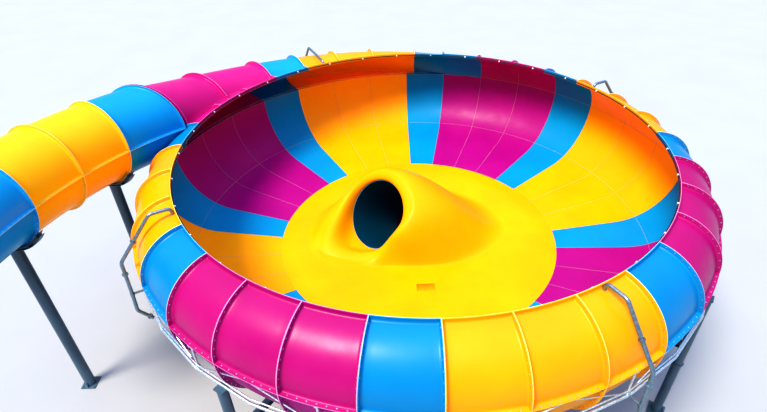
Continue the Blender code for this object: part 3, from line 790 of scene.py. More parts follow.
@dataclass(frozen=True)
class Meridian:
    """A curve of radii and heights, followed by its length, with its outward normal."""

    line: Array

    def length(self) -> float:
        """Whole length of the curve."""
        return float(self.steps()[-1])

    def steps(self) -> Array:
        """Length up to each point of the curve."""
        return np.concatenate([[0.0], np.cumsum(np.linalg.norm(np.diff(self.line, axis=0), axis=1))])

    def at(self, distance: Array | float) -> tuple[Array, Array]:
        """Points and outward normals, which are the curve's direction after a quarter turn.

        Args:
            distance: Lengths from the start.

        Returns:
            Radii and heights, and the normals' radial and vertical parts.
        """
        steps = self.steps()
        way = unit(np.gradient(self.line, steps, axis=0))
        normal = np.stack([-way[:, 1], way[:, 0]], axis=1)
        return sampled(distance, steps, self.line), sampled(distance, steps, normal)


@dataclass(frozen=True)
class BowlShape:
    """Sizes of the bowl's shell and the curves that follow from them."""

    rim_height: float = 9.0
    rim_radius: float = 9.15
    barrel_centre: float = 9.10
    barrel_radius: float = 1.59
    wall_centre: float = 8.17
    wall_height: float = 2.67
    floor_seam_radius: float = 9.33
    slope: float = math.radians(8.3)
    disc_radius: float = 5.87
    disc_ledge: float = 0.62
    disc_flat: float = 2.2
    disc_drop: float = 0.36
    shell: float = 0.02
    rib: float = 0.15
    entry_first: int = 24
    entry_spread: float = 2.44
    entry_lift: float = 0.025
    entry_rise: float = 1.52
    entry_power: float = 3.35
    entry_flare: float = 0.08
    valley_round: float = 0.075
    entry_points: int = 700

    @property
    def seam_height(self) -> float:
        """Height of the joint between the upper ring and the wall row."""
        return self.rim_height - self.barrel_radius - self.rib

    @property
    def bowl_radius(self) -> float:
        """Outer radius of the shell at that joint."""
        return self.barrel_centre + self.barrel_radius

    @property
    def flange_radius(self) -> float:
        """Radius of the flanges' edge at that joint."""
        return self.bowl_radius + self.rib

    @property
    def wall_width(self) -> float:
        """Level half axis of the wall's ellipse."""
        return self.bowl_radius - self.wall_centre

    @property
    def floor_seam_turn(self) -> float:
        """Angle on the ellipse of the joint between the wall row and the floor row."""
        return math.asin((self.floor_seam_radius - self.wall_centre) / self.wall_width) - math.pi / 2

    @property
    def tangent_turn(self) -> float:
        """Angle on the ellipse where the floor's straight slope begins."""
        return math.atan(self.wall_width / self.wall_height * math.tan(self.slope)) - math.pi / 2

    def barrel_top(self, radius: Array | float) -> Array:
        """Height of the barrel's circle at radii, and of its centre beyond it."""
        square = self.barrel_radius ** 2 - (radius - self.barrel_centre) ** 2
        return self.seam_height + np.sqrt(np.maximum(square, 0.0))

    def barrel(self) -> Meridian:
        """Outer face of the upper ring: a quarter circle from the rim down to the joint."""
        start = math.acos((self.rim_radius - self.barrel_centre) / (self.barrel_radius + self.rib))
        turn = np.linspace(start, 0.0, 200)
        return Meridian(np.stack([self.barrel_centre + self.barrel_radius * np.cos(turn),
                                  self.seam_height + self.barrel_radius * np.sin(turn)], axis=1))

    def wall_curve(self, first: float, last: float) -> Array:
        """Outer face of the wall: a quarter ellipse, between two of its angles."""
        turn = np.linspace(first, last, 240)
        return np.stack([self.wall_centre + self.wall_width * np.cos(turn),
                         self.seam_height + self.wall_height * np.sin(turn)], axis=1)

    def wall(self) -> Meridian:
        """Outer face of the wall row, from the joint down to the floor seam."""
        return Meridian(self.wall_curve(0.0, self.floor_seam_turn))

    def floor(self) -> Meridian:
        """Outer face of the floor row: the rest of the ellipse and a straight slope in to the disc."""
        bend = self.wall_curve(self.floor_seam_turn, self.tangent_turn)
        radii = np.linspace(bend[-1, 0], self.disc_radius, 60)[1:]
        slope = np.stack([radii, bend[-1, 1] + (radii - bend[-1, 0]) * math.tan(self.slope)], axis=1)
        return Meridian(np.concatenate([bend, slope]))

    def disc_height(self, radius: Array | float) -> Array:
        """Height of the disc's wet face: level at its edge, then an S-shaped fall to the flat middle.

        Args:
            radius: Distances from the axis.

        Returns:
            Heights over the ground.
        """
        turn = self.tangent_turn
        start_r = self.wall_centre + (self.wall_width - self.shell) * math.cos(turn)
        start_z = self.seam_height + (self.wall_height - self.shell) * math.sin(turn)
        edge = start_z + (self.disc_radius - start_r) * math.tan(self.slope)
        ledge = self.disc_radius - self.disc_ledge
        share = np.clip((ledge - radius) / (ledge - self.disc_flat), 0.0, 1.0)
        return edge - self.disc_drop * share ** 1.15 * (1.0 + 0.15 * (1.0 - share))

    def on_disc(self, points: Array) -> Array:
        """Height of the disc's wet face under or over points."""
        return self.disc_height(np.hypot(points[..., 0], points[..., 1]))

    def entry_centre(self, seam: float) -> Triple:
        """Centre radius, centre height and half width of the tube's section where it opens into the bowl.

        Args:
            seam: Place along the entry, counted in seams.

        Returns:
            The three sizes: the tube swings out by a sine and climbs by a power of the place.
        """
        share = (seam - self.entry_first) / (PANELS - self.entry_first)
        tail = share ** 6
        spread = 0.8 * math.sin(math.pi * share / 2.0) + 0.2 * tail
        return (self.barrel_centre + self.entry_spread * spread,
                self.seam_height + self.entry_lift + self.entry_rise * share ** self.entry_power,
                self.barrel_radius * (1.0 + self.entry_flare * tail))

    def entry_curve(self, seam: float) -> Meridian:
        """Outer face of the entry at a place: barrel strip, valley, tube crown and trough.

        The outline is the upper one of the barrel's circle and the tube's ellipse. A moving average along
        its length then rounds the valley between them.

        Args:
            seam: Place along the entry, counted in seams.

        Returns:
            The curve from the rim to the wall row's flange.
        """
        centre, height, wide = self.entry_centre(seam)
        start_r = self.barrel().line[0, 0]
        turn = np.radians(np.linspace(179.0, 0.0, 3600))
        crown = np.stack([centre + wide * np.cos(turn), height + self.barrel_radius * np.sin(turn)], axis=1)
        above = (crown[:, 0] >= start_r) & (crown[:, 1] >= self.barrel_top(crown[:, 0]))
        crown = crown[int(np.argmax(above)):]
        radii = np.linspace(start_r, crown[0, 0], 60, endpoint=False)
        strip = np.stack([radii, self.barrel_top(radii)], axis=1)
        quarter = np.linspace(0.0, math.pi / 2, 200)[1:]
        side = centre + wide
        trough = np.stack([self.flange_radius + (side - self.flange_radius) * np.cos(quarter),
                           height + (self.seam_height - height) * np.sin(quarter)], axis=1)
        line = np.concatenate([strip, crown, trough])
        apart = np.linalg.norm(np.diff(line, axis=0), axis=1) > 1e-6
        whole = Meridian(line[np.concatenate([[True], apart])])
        half = int(self.valley_round / whole.length() * self.entry_points)
        points, _ = whole.at(np.linspace(0.0, whole.length(), self.entry_points))
        before = 2 * points[:1] - points[half:0:-1]
        after = 2 * points[-1:] - points[-2:-half - 2:-1]
        padded = np.concatenate([before, points, after])
        window = np.ones(2 * half + 1) / (2 * half + 1)
        soft = np.stack([np.convolve(column, window, mode="valid") for column in padded.T], axis=1)
        soft[0], soft[-1] = points[0], points[-1]
        return Meridian(soft)


BOWL = BowlShape()


def panel_tint(panel: int) -> Tint:
    """Colour of a panel: each fourth one is blue, and the three between are yellow or magenta in turn."""
    between = Tint.YELLOW if panel // 4 % 2 == 0 else Tint.MAGENTA
    return between if panel % 4 else Tint.BLUE


def spaced(length: float, first: FlangeShape, last: FlangeShape, between: int) -> Array:
    """Lines across a panel: close together at its two flanges and even between them.

    Args:
        length: Distance from joint to joint.
        first: Flange at the start.
        last: Flange at the end.
        between: Number of lines between the fillets.

    Returns:
        Distances from the start.
    """
    near, far = first.lines(), length - last.lines()[::-1]
    return np.concatenate([near, np.linspace(near[-1], far[0], between + 2)[1:-1], far])


def tray(points: Array, normals: Array, lift: Array, near: Array, tint: int) -> Surface:
    """A moulded tray: a shell with flanges that stand up on it, and a pale finish along its joints, which is
    the sawn laminate edge lightened by a painted highlight.

    Args:
        points: Grid of points on the shell's outer face.
        normals: Outward directions there.
        lift: Height of the surface over the shell.
        near: Distance to the nearest joint.
        tint: Finish number of the panel; the finish of its edges, pale laminate with a painted highlight,
            comes three further on.

    Returns:
        The closed tray.
    """
    close = near <= RIB.seal + 1e-6
    sawn_and_highlit = close[:-1, :-1] & close[1:, :-1] & close[1:, 1:] & close[:-1, 1:]
    return closed_sheet(points + normals * lift[..., None], points - normals * BOWL.shell,
                        np.where(sawn_and_highlit, tint + len(Tint), tint).ravel())


@dataclass
class Shells:
    """The bowl's moulded panels: upper ring, wall row, floor row and the entry's hood."""

    shop: Workshop
    across: int = 10
    odd_blue: int = 23
    entry_seams: tuple[float, ...] = (24.0, 24.8, 26.0, 27.0, 28.0, 29.0)
    entry_radius: float = 11.0
    crown_seam: float = 30.5
    strip_fade: float = 0.12
    entry_lines: int = 60
    first_crown: int = 12
    fade_lines: float = 8.0

    def round_panel(self, curve: Meridian, panel: int, flanges: tuple[FlangeShape, FlangeShape], down: int,
                    tint: int) -> Surface:
        """One panel between two seams whose cross-section is the same all along.

        A point lies at a length down the curve and a distance from the seam. Its height over the shell is
        the highest of the four flanges there.

        Args:
            curve: Cross-section of the shell's outer face.
            panel: Number of the panel, which is that of its first seam.
            flanges: Flanges at the top and at the bottom.
            down: Number of lines between those flanges.
            tint: Finish number of the panel.

        Returns:
            The panel as a closed tray.
        """
        drop = spaced(curve.length(), *flanges, down)[:, None]
        rest = curve.length() - drop
        place, normal = curve.at(drop[:, 0])
        radius = place[:, :1]
        width = radius * (seam_angle(panel + 1) - seam_angle(panel))
        ends = np.repeat(RIB.lines()[None], len(drop), axis=0)
        middle = np.linspace(0.0, 1.0, self.across + 2)[None, 1:-1]
        tight = ends[:, -1:]
        left = np.concatenate([ends, tight + middle * (width - 2 * tight), width - ends[:, ::-1]], axis=1)
        right = width - left
        lift = highest(RIB.lift(left), RIB.lift(right), flanges[0].lift(drop), flanges[1].lift(rest))
        near = np.minimum(np.minimum(left, right), np.minimum(drop, rest))
        angle = seam_angle(panel) + left / radius
        return tray(polar(radius, angle, place[:, 1:]), polar(normal[:, :1], angle, normal[:, 1:]),
                    lift, near, tint)

    def entry_panel(self, first: float, last: float, tint: Tint, strip_seam: float | None = None
                    ) -> Surface:
        """One panel of the entry, whose cross-section changes from place to place.

        The strip between rim and valley has ribs of its own seams. The rib at the tube's extra seam stands
        only on the tube, from the valley on.

        Args:
            first: Seam at the panel's start.
            last: Seam at its end.
            tint: Colour of the panel.
            strip_seam: Seam in between whose rib stands only on the strip.

        Returns:
            The panel as a closed tray.
        """
        width = self.entry_radius * float(seam_angle(last) - seam_angle(first))
        left = spaced(width, RIB, RIB, self.across)
        offset = -1.0
        if strip_seam is not None:
            offset = width * (strip_seam - first) / (last - first)
            own = np.concatenate([offset - RIB.lines()[::-1], offset + RIB.lines()])
            left = np.concatenate([left[left < own[0]], own, left[left > own[-1]]])
        margin = RIM.lines()[-1]
        places, normals, strips = [], [], []
        for along in left:
            seam = first + (last - first) * along / width
            curve = BOWL.entry_curve(seam)
            body = margin + (curve.length() - margin) * np.linspace(0.0, 1.0, self.entry_lines)[1:]
            down = np.concatenate([RIM.lines(), body])
            place, normal = curve.at(down)
            places.append(polar(place[:, 0], seam_angle(seam), place[:, 1]))
            normals.append(polar(normal[:, 0], seam_angle(seam), normal[:, 1]))
            crown = int(np.argmax(place[self.first_crown:, 1])) + self.first_crown
            valley = down[int(np.argmin(place[:crown, 1]))]
            strips.append(np.clip((valley - down) / self.strip_fade + 0.5, 0.0, 1.0))
        strip = np.stack(strips, axis=1)
        rows = np.arange(len(down))[:, None]
        fade = np.clip((len(down) - 1 - rows) / self.fade_lines, 0.0, 1.0)
        shares = [1.0 - strip if seam == self.crown_seam else 1.0 for seam in (first, last)]
        ribs = np.maximum(RIB.lift(left) * shares[0], RIB.lift(width - left) * shares[1]) * fade
        near = np.minimum(np.minimum(left, width - left), down[:, None])
        if strip_seam is not None:
            ribs = np.maximum(ribs, RIB.lift(np.abs(left - offset)) * strip)
            near = np.where(strip > 0.5, np.minimum(near, np.abs(left - offset)), near)
        lift = np.maximum(ribs, RIM.lift(down)[:, None])
        return tray(np.stack(places, axis=1), np.stack(normals, axis=1), lift, near, NUMBER[tint])

    def row(self, piece: str, node: str, curve: Meridian, top: FlangeShape, down: int, sections: int,
            size: int, coats: dict[Tint, Gelcoat], odd_blue: int | None = None) -> None:
        """A row of panels round the bowl, one piece for each CAD section.

        Args:
            piece: Name of the pieces without their number.
            node: Name of the CAD nodes without their number.
            curve: Cross-section of the shell's outer face.
            top: Flange at the top.
            down: Number of lines between the flanges at the top and the bottom.
            sections: Number of sections.
            size: Panels in each section.
            coats: Gelcoats by colour.
            odd_blue: Panel that is blue out of turn.
        """
        for index in range(sections):
            parts = []
            for panel in range(index * size, (index + 1) * size):
                tint = Tint.BLUE if panel == odd_blue else panel_tint(panel)
                parts.append(self.round_panel(curve, panel, (top, LEDGE), down, NUMBER[tint]))
            self.shop.add(f"{piece}_{index + 1}", parts, by_number(coats, LIT_LAMINATE_EDGES), (f"{node}_{index + 1}",),
                          panel_tint(index * size + 1).value)

    def build(self) -> None:
        """Build the upper ring, the entry, the wall row and the floor row."""
        self.row("ring_panels", "upper_ring", BOWL.barrel(), RIM, 18, 6, 4, GELCOATS, self.odd_blue)
        plain = [self.entry_panel(first, last, panel_tint(24 + index))
                 for index, (first, last) in enumerate(zip(self.entry_seams, self.entry_seams[1:]))]
        tube = [self.entry_panel(self.entry_seams[-1], self.crown_seam, Tint.MAGENTA, 30.0),
                self.entry_panel(self.crown_seam, float(PANELS), Tint.MAGENTA, 31.0)]
        self.shop.add("hood_panels_1", plain[:4], by_number(GELCOATS, LIT_LAMINATE_EDGES), ("entry_hood_1",), "yellow")
        # The hood's tube panels take the lighter gelcoat copies, a painted highlight.
        self.shop.add("hood_panels_2", plain[4:] + tube, by_number(SUNLIT_GELCOATS, LIT_LAMINATE_EDGES), ("entry_hood_2",),
                      "magenta")
        self.row("wall_panels", "wall_row", BOWL.wall(), LEDGE, 22, 8, 4, WET_GELCOATS)
        self.row("floor_panels", "floor_row", BOWL.floor(), LEDGE, 16, 4, 8, WET_GELCOATS)


@dataclass
class FeedTube:
    """The closed tube that brings riders in: four bolted pieces, each an upper and a lower moulding."""

    shop: Workshop
    heading: float = 55.6
    turn_rate: float = 3.40
    turn_change: float = -0.062
    slope: float = -5.6
    slope_change: float = 0.34
    segment: float = 2.34
    tints: tuple[Tint, ...] = (Tint.BLUE, Tint.YELLOW, Tint.YELLOW, Tint.BLUE)
    side_flange: FlangeShape = FlangeShape(thickness=0.022, height=0.1, fillet=0.05)

    def path(self) -> tuple[Array, Array, Array]:
        """The tube's centre line, upstream from the bowl, by summing its heading and slope.

        Returns:
            Distances, centre points and headings' directions.
        """
        steps = np.linspace(-1.2, len(self.tints) * self.segment + 0.2, 1200)
        heading = np.radians(self.heading + self.turn_rate * steps + self.turn_change * steps ** 2 / 2.0)
        slope = np.radians(self.slope + self.slope_change * steps)
        rate = -polar(1.0, heading, np.tan(slope))
        moves = (rate[1:] + rate[:-1]) / 2.0 * (steps[1] - steps[0])
        sums = np.concatenate([np.zeros((1, 3)), np.cumsum(moves, axis=0)])
        radius, height, _ = BOWL.entry_centre(PANELS)
        start = polar(radius, seam_angle(PANELS), height) - sampled(0.0, steps, sums)
        return steps, sums + start, unit(-rate)

    def frame(self, distance: Array | float) -> tuple[Array, Array, Array]:
        """Place and directions of the tube's sections.

        Args:
            distance: Distances upstream of the joint with the entry.

        Returns:
            Centres, level side directions and up directions.
        """
        steps, centres, ways = self.path()
        way = unit(sampled(distance, steps, ways))
        side = unit(np.stack([-way[..., 1], way[..., 0], np.zeros(way.shape[:-1])], axis=-1))
        return sampled(distance, steps, centres), side, np.cross(way, side)

    def half(self, index: int, upper: bool) -> Surface:
        """Upper or lower moulding of one piece.

        A point lies at a distance along the tube and an angle round it. The piece next to the bowl is cut
        off in the plane of the entry's last seam, so its distances are stretched to end there.

        Args:
            index: Number of the piece, counted from the bowl.
            upper: Whether it is the upper moulding.

        Returns:
            The moulding as a closed tray.
        """
        radius = BOWL.barrel_radius
        run = spaced(self.segment, TUBE_RING, TUBE_RING, 10)[:, None]
        round_way = spaced(math.pi * radius, self.side_flange, self.side_flange, 22)[None]
        turn = round_way / radius + (0.0 if upper else math.pi)
        distance = index * self.segment + run + 0 * turn
        if index == 0:
            normal = -compass(float(seam_angle(PANELS)))[1]
            centre, side, high = self.frame(0.0)
            edge = centre + radius * rays(turn, side, high)
            shift = (edge @ normal) / abs(np.cross(side, high) @ normal)
            distance = distance + shift * (1.0 - run / self.segment)
        centre, side, high = self.frame(distance)
        normals = rays(turn, side, high)
        other, rest = self.segment - run, math.pi * radius - round_way
        lift = highest(TUBE_RING.lift(run), TUBE_RING.lift(other),
                       self.side_flange.lift(round_way), self.side_flange.lift(rest))
        near = np.minimum(np.minimum(run, other), np.minimum(round_way, rest))
        return tray(centre + radius * normals, normals, lift, near, NUMBER[self.tints[index]])

    def build(self) -> None:
        """Build the four pieces."""
        for index, tint in enumerate(self.tints):
            parts = [self.half(index, True), self.half(index, False)]
            # The tube takes the lighter gelcoat copies, a painted highlight.
            self.shop.add(f"feed_piece_{index + 1}", parts, by_number(SUNLIT_GELCOATS, LIT_LAMINATE_EDGES),
                          (f"feed_tube_{index + 1}",), tint.value)


@dataclass
class ExitWorks:
    """Centre disc with its bell-shaped exit, and the tube that carries riders out under the bowl."""

    shop: Workshop
    radius: float = 1.50
    mouth: Triple = (-1.70, 0.44, 5.0615)
    heading: float = math.radians(38.3)
    dive: float = math.radians(33.4)
    level: float = math.radians(2.0)
    bend: float = 3.2
    dive_length: float = 4.8
    run: float = 5.2
    blue_length: float = 3.1
    foot_shift: float = 0.45
    bell_sides: int = 240
    bell_smoothing: int = 25
    bell_edge: float = 0.004
    bell_lift: float = 0.01
    wing_rounds: int = 120
    calm_rows: float = 8.0
    sink_rows: float = 14.0
    sink_depth: float = 0.08
    disc_rows: int = 26
    # Angle round the mouth; lip's place along, beside and above; how far the foot lies outside the mouth
    bell_table: tuple[tuple[float, ...], ...] = (
        (0, -0.38, 1.80, 5.31, 1.5), (30, 0.31, 1.64, 5.99, 1.7), (62, 0.88, 0.93, 6.57, 2.1),
        (90, 1.02, 0.00, 6.78, 2.8), (112, 0.98, -0.80, 6.66, 3.4), (135, 0.75, -1.50, 6.30, 3.9),
        (157, 0.25, -1.88, 5.85, 2.7), (180, -0.46, -1.78, 5.30, 1.5), (200, -0.73, -1.55, 4.86, 1.0),
        (225, -1.05, -1.30, 4.10, 0.8), (245, -1.75, -0.90, 3.88, 1.2), (262, -2.50, -0.20, 3.88, 1.9),
        (276, -2.85, 0.45, 4.08, 2.1), (288, -2.66, 0.85, 4.28, 2.1), (302, -2.14, 1.12, 4.50, 2.0),
        (325, -1.35, 1.51, 4.74, 1.8))

    def directions(self) -> tuple[Array, Array, Array]:
        """Directions at the mouth.

        Returns:
            The way into it, the level side direction, and the up direction across it.
        """
        flat, side = compass(self.heading)
        way = flat * math.cos(self.dive) - UP * math.sin(self.dive)
        return way, side, np.cross(way, side)

    def line(self, length: Array | float) -> tuple[Array, Array]:
        """Centre line of the tube: a dive, an arc and a nearly level run.

        Args:
            length: Lengths from the mouth.

        Returns:
            Centres and directions there.
        """
        angle = self.dive - np.clip((length - self.dive_length) / self.bend, 0.0, self.dive - self.level)
        straight = np.minimum(length, self.dive_length)
        after = np.maximum(length - self.joint(), 0.0)
        along = (straight * math.cos(self.dive) + self.bend * (math.sin(self.dive) - np.sin(angle))
                 + after * math.cos(self.level))
        down = (straight * math.sin(self.dive) + self.bend * (np.cos(angle) - math.cos(self.dive))
                + after * math.sin(self.level))
        return (np.array(self.mouth) + polar(along, self.heading, -down),
                polar(np.cos(angle), self.heading, -np.sin(angle)))

    def joint(self) -> float:
        """Length from the mouth to the joint of the two tube pieces."""
        return self.dive_length + self.bend * (self.dive - self.level)

    def tube(self, first: float, last: float, start_flange: bool, tint: Tint, between: int) -> Surface:
        """One stretch of the exit tube, with a ring flange at its lower end and perhaps at its upper one.

        Args:
            first: Length at its start.
            last: Length at its end.
            start_flange: Whether the upper end has a flange too.
            tint: Its colour; the inner faces take the third kind of finish, darker copies of the gelcoats
                that are painted shade inside the tube.
            between: Number of rings between the flanges.

        Returns:
            Two closed half shells.
        """
        run = spaced(last - first, RIB, RIB, between)
        rest = last - first - run
        centre, way = self.line(first + run)
        side = self.directions()[1]
        high = np.cross(way, side)[:, None]
        lift = np.maximum(RIB.lift(rest), RIB.lift(run)) if start_flange else RIB.lift(rest)
        near = np.minimum(rest, run if start_flange else last)
        halves = []
        for start in (0.0, math.pi):
            turn = np.linspace(start, start + math.pi, 33)[None]
            normals = rays(turn, side, high)
            half = tray(centre[:, None] + self.radius * normals, normals, lift[:, None] + 0 * turn,
                        near[:, None] + 0 * turn, NUMBER[tint])
            # The inner faces get the darker copies: painted shade inside the tube.
            half.finishes[1] = np.full(len(half.finishes[1]), NUMBER[tint] + 2 * len(Tint))
            halves.append(half)
        return Surface.joined(halves)

    def bell_lines(self) -> tuple[Array, Array, Array]:
        """Mouth's edge, lip and foot of the bell.

        Lip and foot come from the table, smoothed round the mouth by a moving average. The lip stays over
        the disc, and the foot lies on it.

        Returns:
            The three lines, with a point for every angle round the mouth.
        """
        turn = full_turn(self.bell_sides)
        kernel = np.hanning(self.bell_smoothing + 2)[1:-1]
        table = np.array(self.bell_table)
        knots = np.radians(np.concatenate([table[:, 0] + lap for lap in (-360.0, 0.0, 360.0)]))
        values = sampled(turn, knots, np.tile(table[:, 1:], (3, 1)))
        kernel /= kernel.sum()
        smooth = [np.convolve(np.tile(column, 3), kernel, mode="same") for column in values.T]
        middle = slice(self.bell_sides, 2 * self.bell_sides)
        along, beside, height, reach = (column[middle, None] for column in smooth)
        flat, side = compass(self.heading)
        base = np.array([*self.mouth[:2], 0.0])
        edge = np.array(self.mouth) + (self.radius + self.bell_edge) * rays(turn, side, self.directions()[2])
        lip = base + along * flat + beside * side
        lip[:, 2] = np.maximum(height[:, 0], BOWL.on_disc(lip) + self.bell_lift)
        foot = base + self.foot_shift * flat + (self.radius + reach) * rays(turn, side, flat)
        foot[:, 2] = BOWL.on_disc(foot)
        return edge, lip, foot

    def bell_face(self) -> Array:
        """Wet face of the bell, from the mouth's edge over the lip to the foot.

        For each angle round the mouth a cubic curve leaves the mouth's edge against the riders' way and
        flares out to the lip. From there a quartic curve rolls over and falls to the foot. On the lower
        side, where the wings lie, each point then moves halfway to the middle of its neighbours, many times.

        Returns:
            Grid of points, with the place on the curves first.
        """
        way, side, high = self.directions()
        flat, _ = compass(self.heading)
        turn = full_turn(self.bell_sides)
        edge, lip, foot = self.bell_lines()
        gap = (foot - lip) * (1.0 - UP)
        far = np.linalg.norm(gap, axis=1, keepdims=True)
        away = np.where(far > 0.3, gap / np.maximum(far, 1e-6), rays(turn, side, flat))
        roll = unit(rays(turn, side, high) + 0.8 * away)
        flare = np.linalg.norm(lip - edge, axis=1, keepdims=True)
        lying = np.clip((-np.sin(turn)[:, None] - 0.45) / 0.4, 0.0, 1.0)
        leave = way + (flat - way) * lying
        inside = bezier(18, edge, edge - 0.45 * flare * leave, lip - 0.4 * flare * roll, lip)
        outside = bezier(30, lip, lip + np.minimum(0.35 * flare, 0.22) * roll, lip + 0.45 * far * away,
                         foot - 0.28 * far * away, foot)
        curve = np.concatenate([inside, outside[1:]])
        row = np.arange(len(curve))[:, None]
        left = len(curve) - 1 - row
        ends = np.clip(row / self.calm_rows, 0.0, 1.0) * np.clip(left / self.calm_rows, 0.0, 1.0)
        soft = (ends * np.clip(-np.sin(turn) / 0.3 - 0.5, 0.0, 1.0))[..., None]
        for _ in range(self.wing_rounds):
            middle = 0.5 * (np.roll(curve, 1, axis=1) + np.roll(curve, -1, axis=1))
            curve = curve + 0.5 * soft * (middle - curve)
        sink = self.sink_depth * np.clip(1.0 - row / self.sink_rows, 0.0, 1.0) ** 2
        curve[..., 2] = np.maximum(curve[..., 2], BOWL.on_disc(curve) - sink)
        return curve

    def bell(self) -> Surface:
        """Disc and bell as one moulding; beyond the bell's foot it follows the disc out to its edge.

        Returns:
            The moulding as a closed ring-shaped shell.
        """
        curve = self.bell_face()
        foot = self.bell_lines()[2]
        rim = polar(BOWL.disc_radius, np.arctan2(foot[:, 1], foot[:, 0]), 0.0)
        rest = foot + (rim - foot) * np.linspace(0.0, 1.0, self.disc_rows)[1:, None, None]
        rest[..., 2] = BOWL.on_disc(rest)
        outer = np.concatenate([curve, rest])
        around = np.roll(outer, -1, axis=1) - np.roll(outer, 1, axis=1)
        normal = np.cross(np.gradient(outer, axis=0), around)
        normal /= np.maximum(np.linalg.norm(normal, axis=2, keepdims=True), 1e-9)
        normal *= np.sign(normal[-1, 0, 2])
        under = outer - BOWL.shell * normal
        rows, columns = outer.shape[:2]
        quads = grid_quads(2 * rows + 1, columns, wrap=True) % (2 * rows * columns)
        return Surface.closed(np.concatenate([outer, under[::-1]]).reshape(-1, 3), [quads])

    def build(self) -> None:
        """Build the disc with its bell, and both tube pieces."""
        self.shop.add("disc_and_bell", [self.bell()], [WET_GELCOATS[Tint.YELLOW]],
                      ("centre_disc", "exit_hood"), "yellow", 60.0)
        finishes = by_number(GELCOATS, LIT_LAMINATE_EDGES, SHADED_TUBE_INSIDES)
        joint = self.joint()
        upper = [self.tube(0.0, self.blue_length, False, Tint.BLUE, 14),
                 self.tube(self.blue_length, joint, True, Tint.MAGENTA, 16)]
        self.shop.add("exit_piece_1", upper, finishes, ("exit_tube_1",), "blue")
        lower = self.tube(joint, joint + self.run, True, Tint.MAGENTA, 12)
        self.shop.add("exit_piece_2", [lower], finishes, ("exit_tube_2",), "magenta")


@dataclass
class Foot:
    """Base of a column: plate, four gussets and four anchor bolts."""

    size: float = 0.60
    thickness: float = 0.03
    inset: float = 0.03
    gusset_height: float = 0.26
    gusset_thickness: float = 0.016
    bolt_place: float = 0.22
    bolt_radius: float = 0.026
    bolt_height: float = 0.04

    def build(self, centre: Array, angle: float, radius: float) -> Surface:
        """Build the base of one column.

        Args:
            centre: Point of the column's axis on the ground.
            angle: Azimuth that the plate is turned to.
            radius: The column's radius.

        Returns:
            Plate, gussets and bolts.
        """
        level, across = compass(angle)
        foot = centre + self.thickness * UP
        parts = [bar(centre, foot, block_outline(self.size, self.size, 0.012), level)]
        inner, reach = radius - 0.004, self.size / 2.0 - self.inset
        for way, other in ((level, across), (-level, across), (across, level), (-across, level)):
            outline = [foot + inner * way, foot + reach * way, foot + reach * way + self.inset * UP,
                       foot + (radius + self.inset) * way + self.gusset_height * UP,
                       foot + inner * way + self.gusset_height * UP]
            parts.append(slab(outline, self.gusset_thickness * other))
        signs = np.array([(1, 1), (1, -1), (-1, 1), (-1, -1)]) * self.bolt_place
        origins = foot + signs[:, :1] * level + signs[:, 1:] * across
        parts.append(copies(hex_bolt(self.bolt_radius, self.bolt_height), origins, UP, level))
        return Surface.joined(parts)


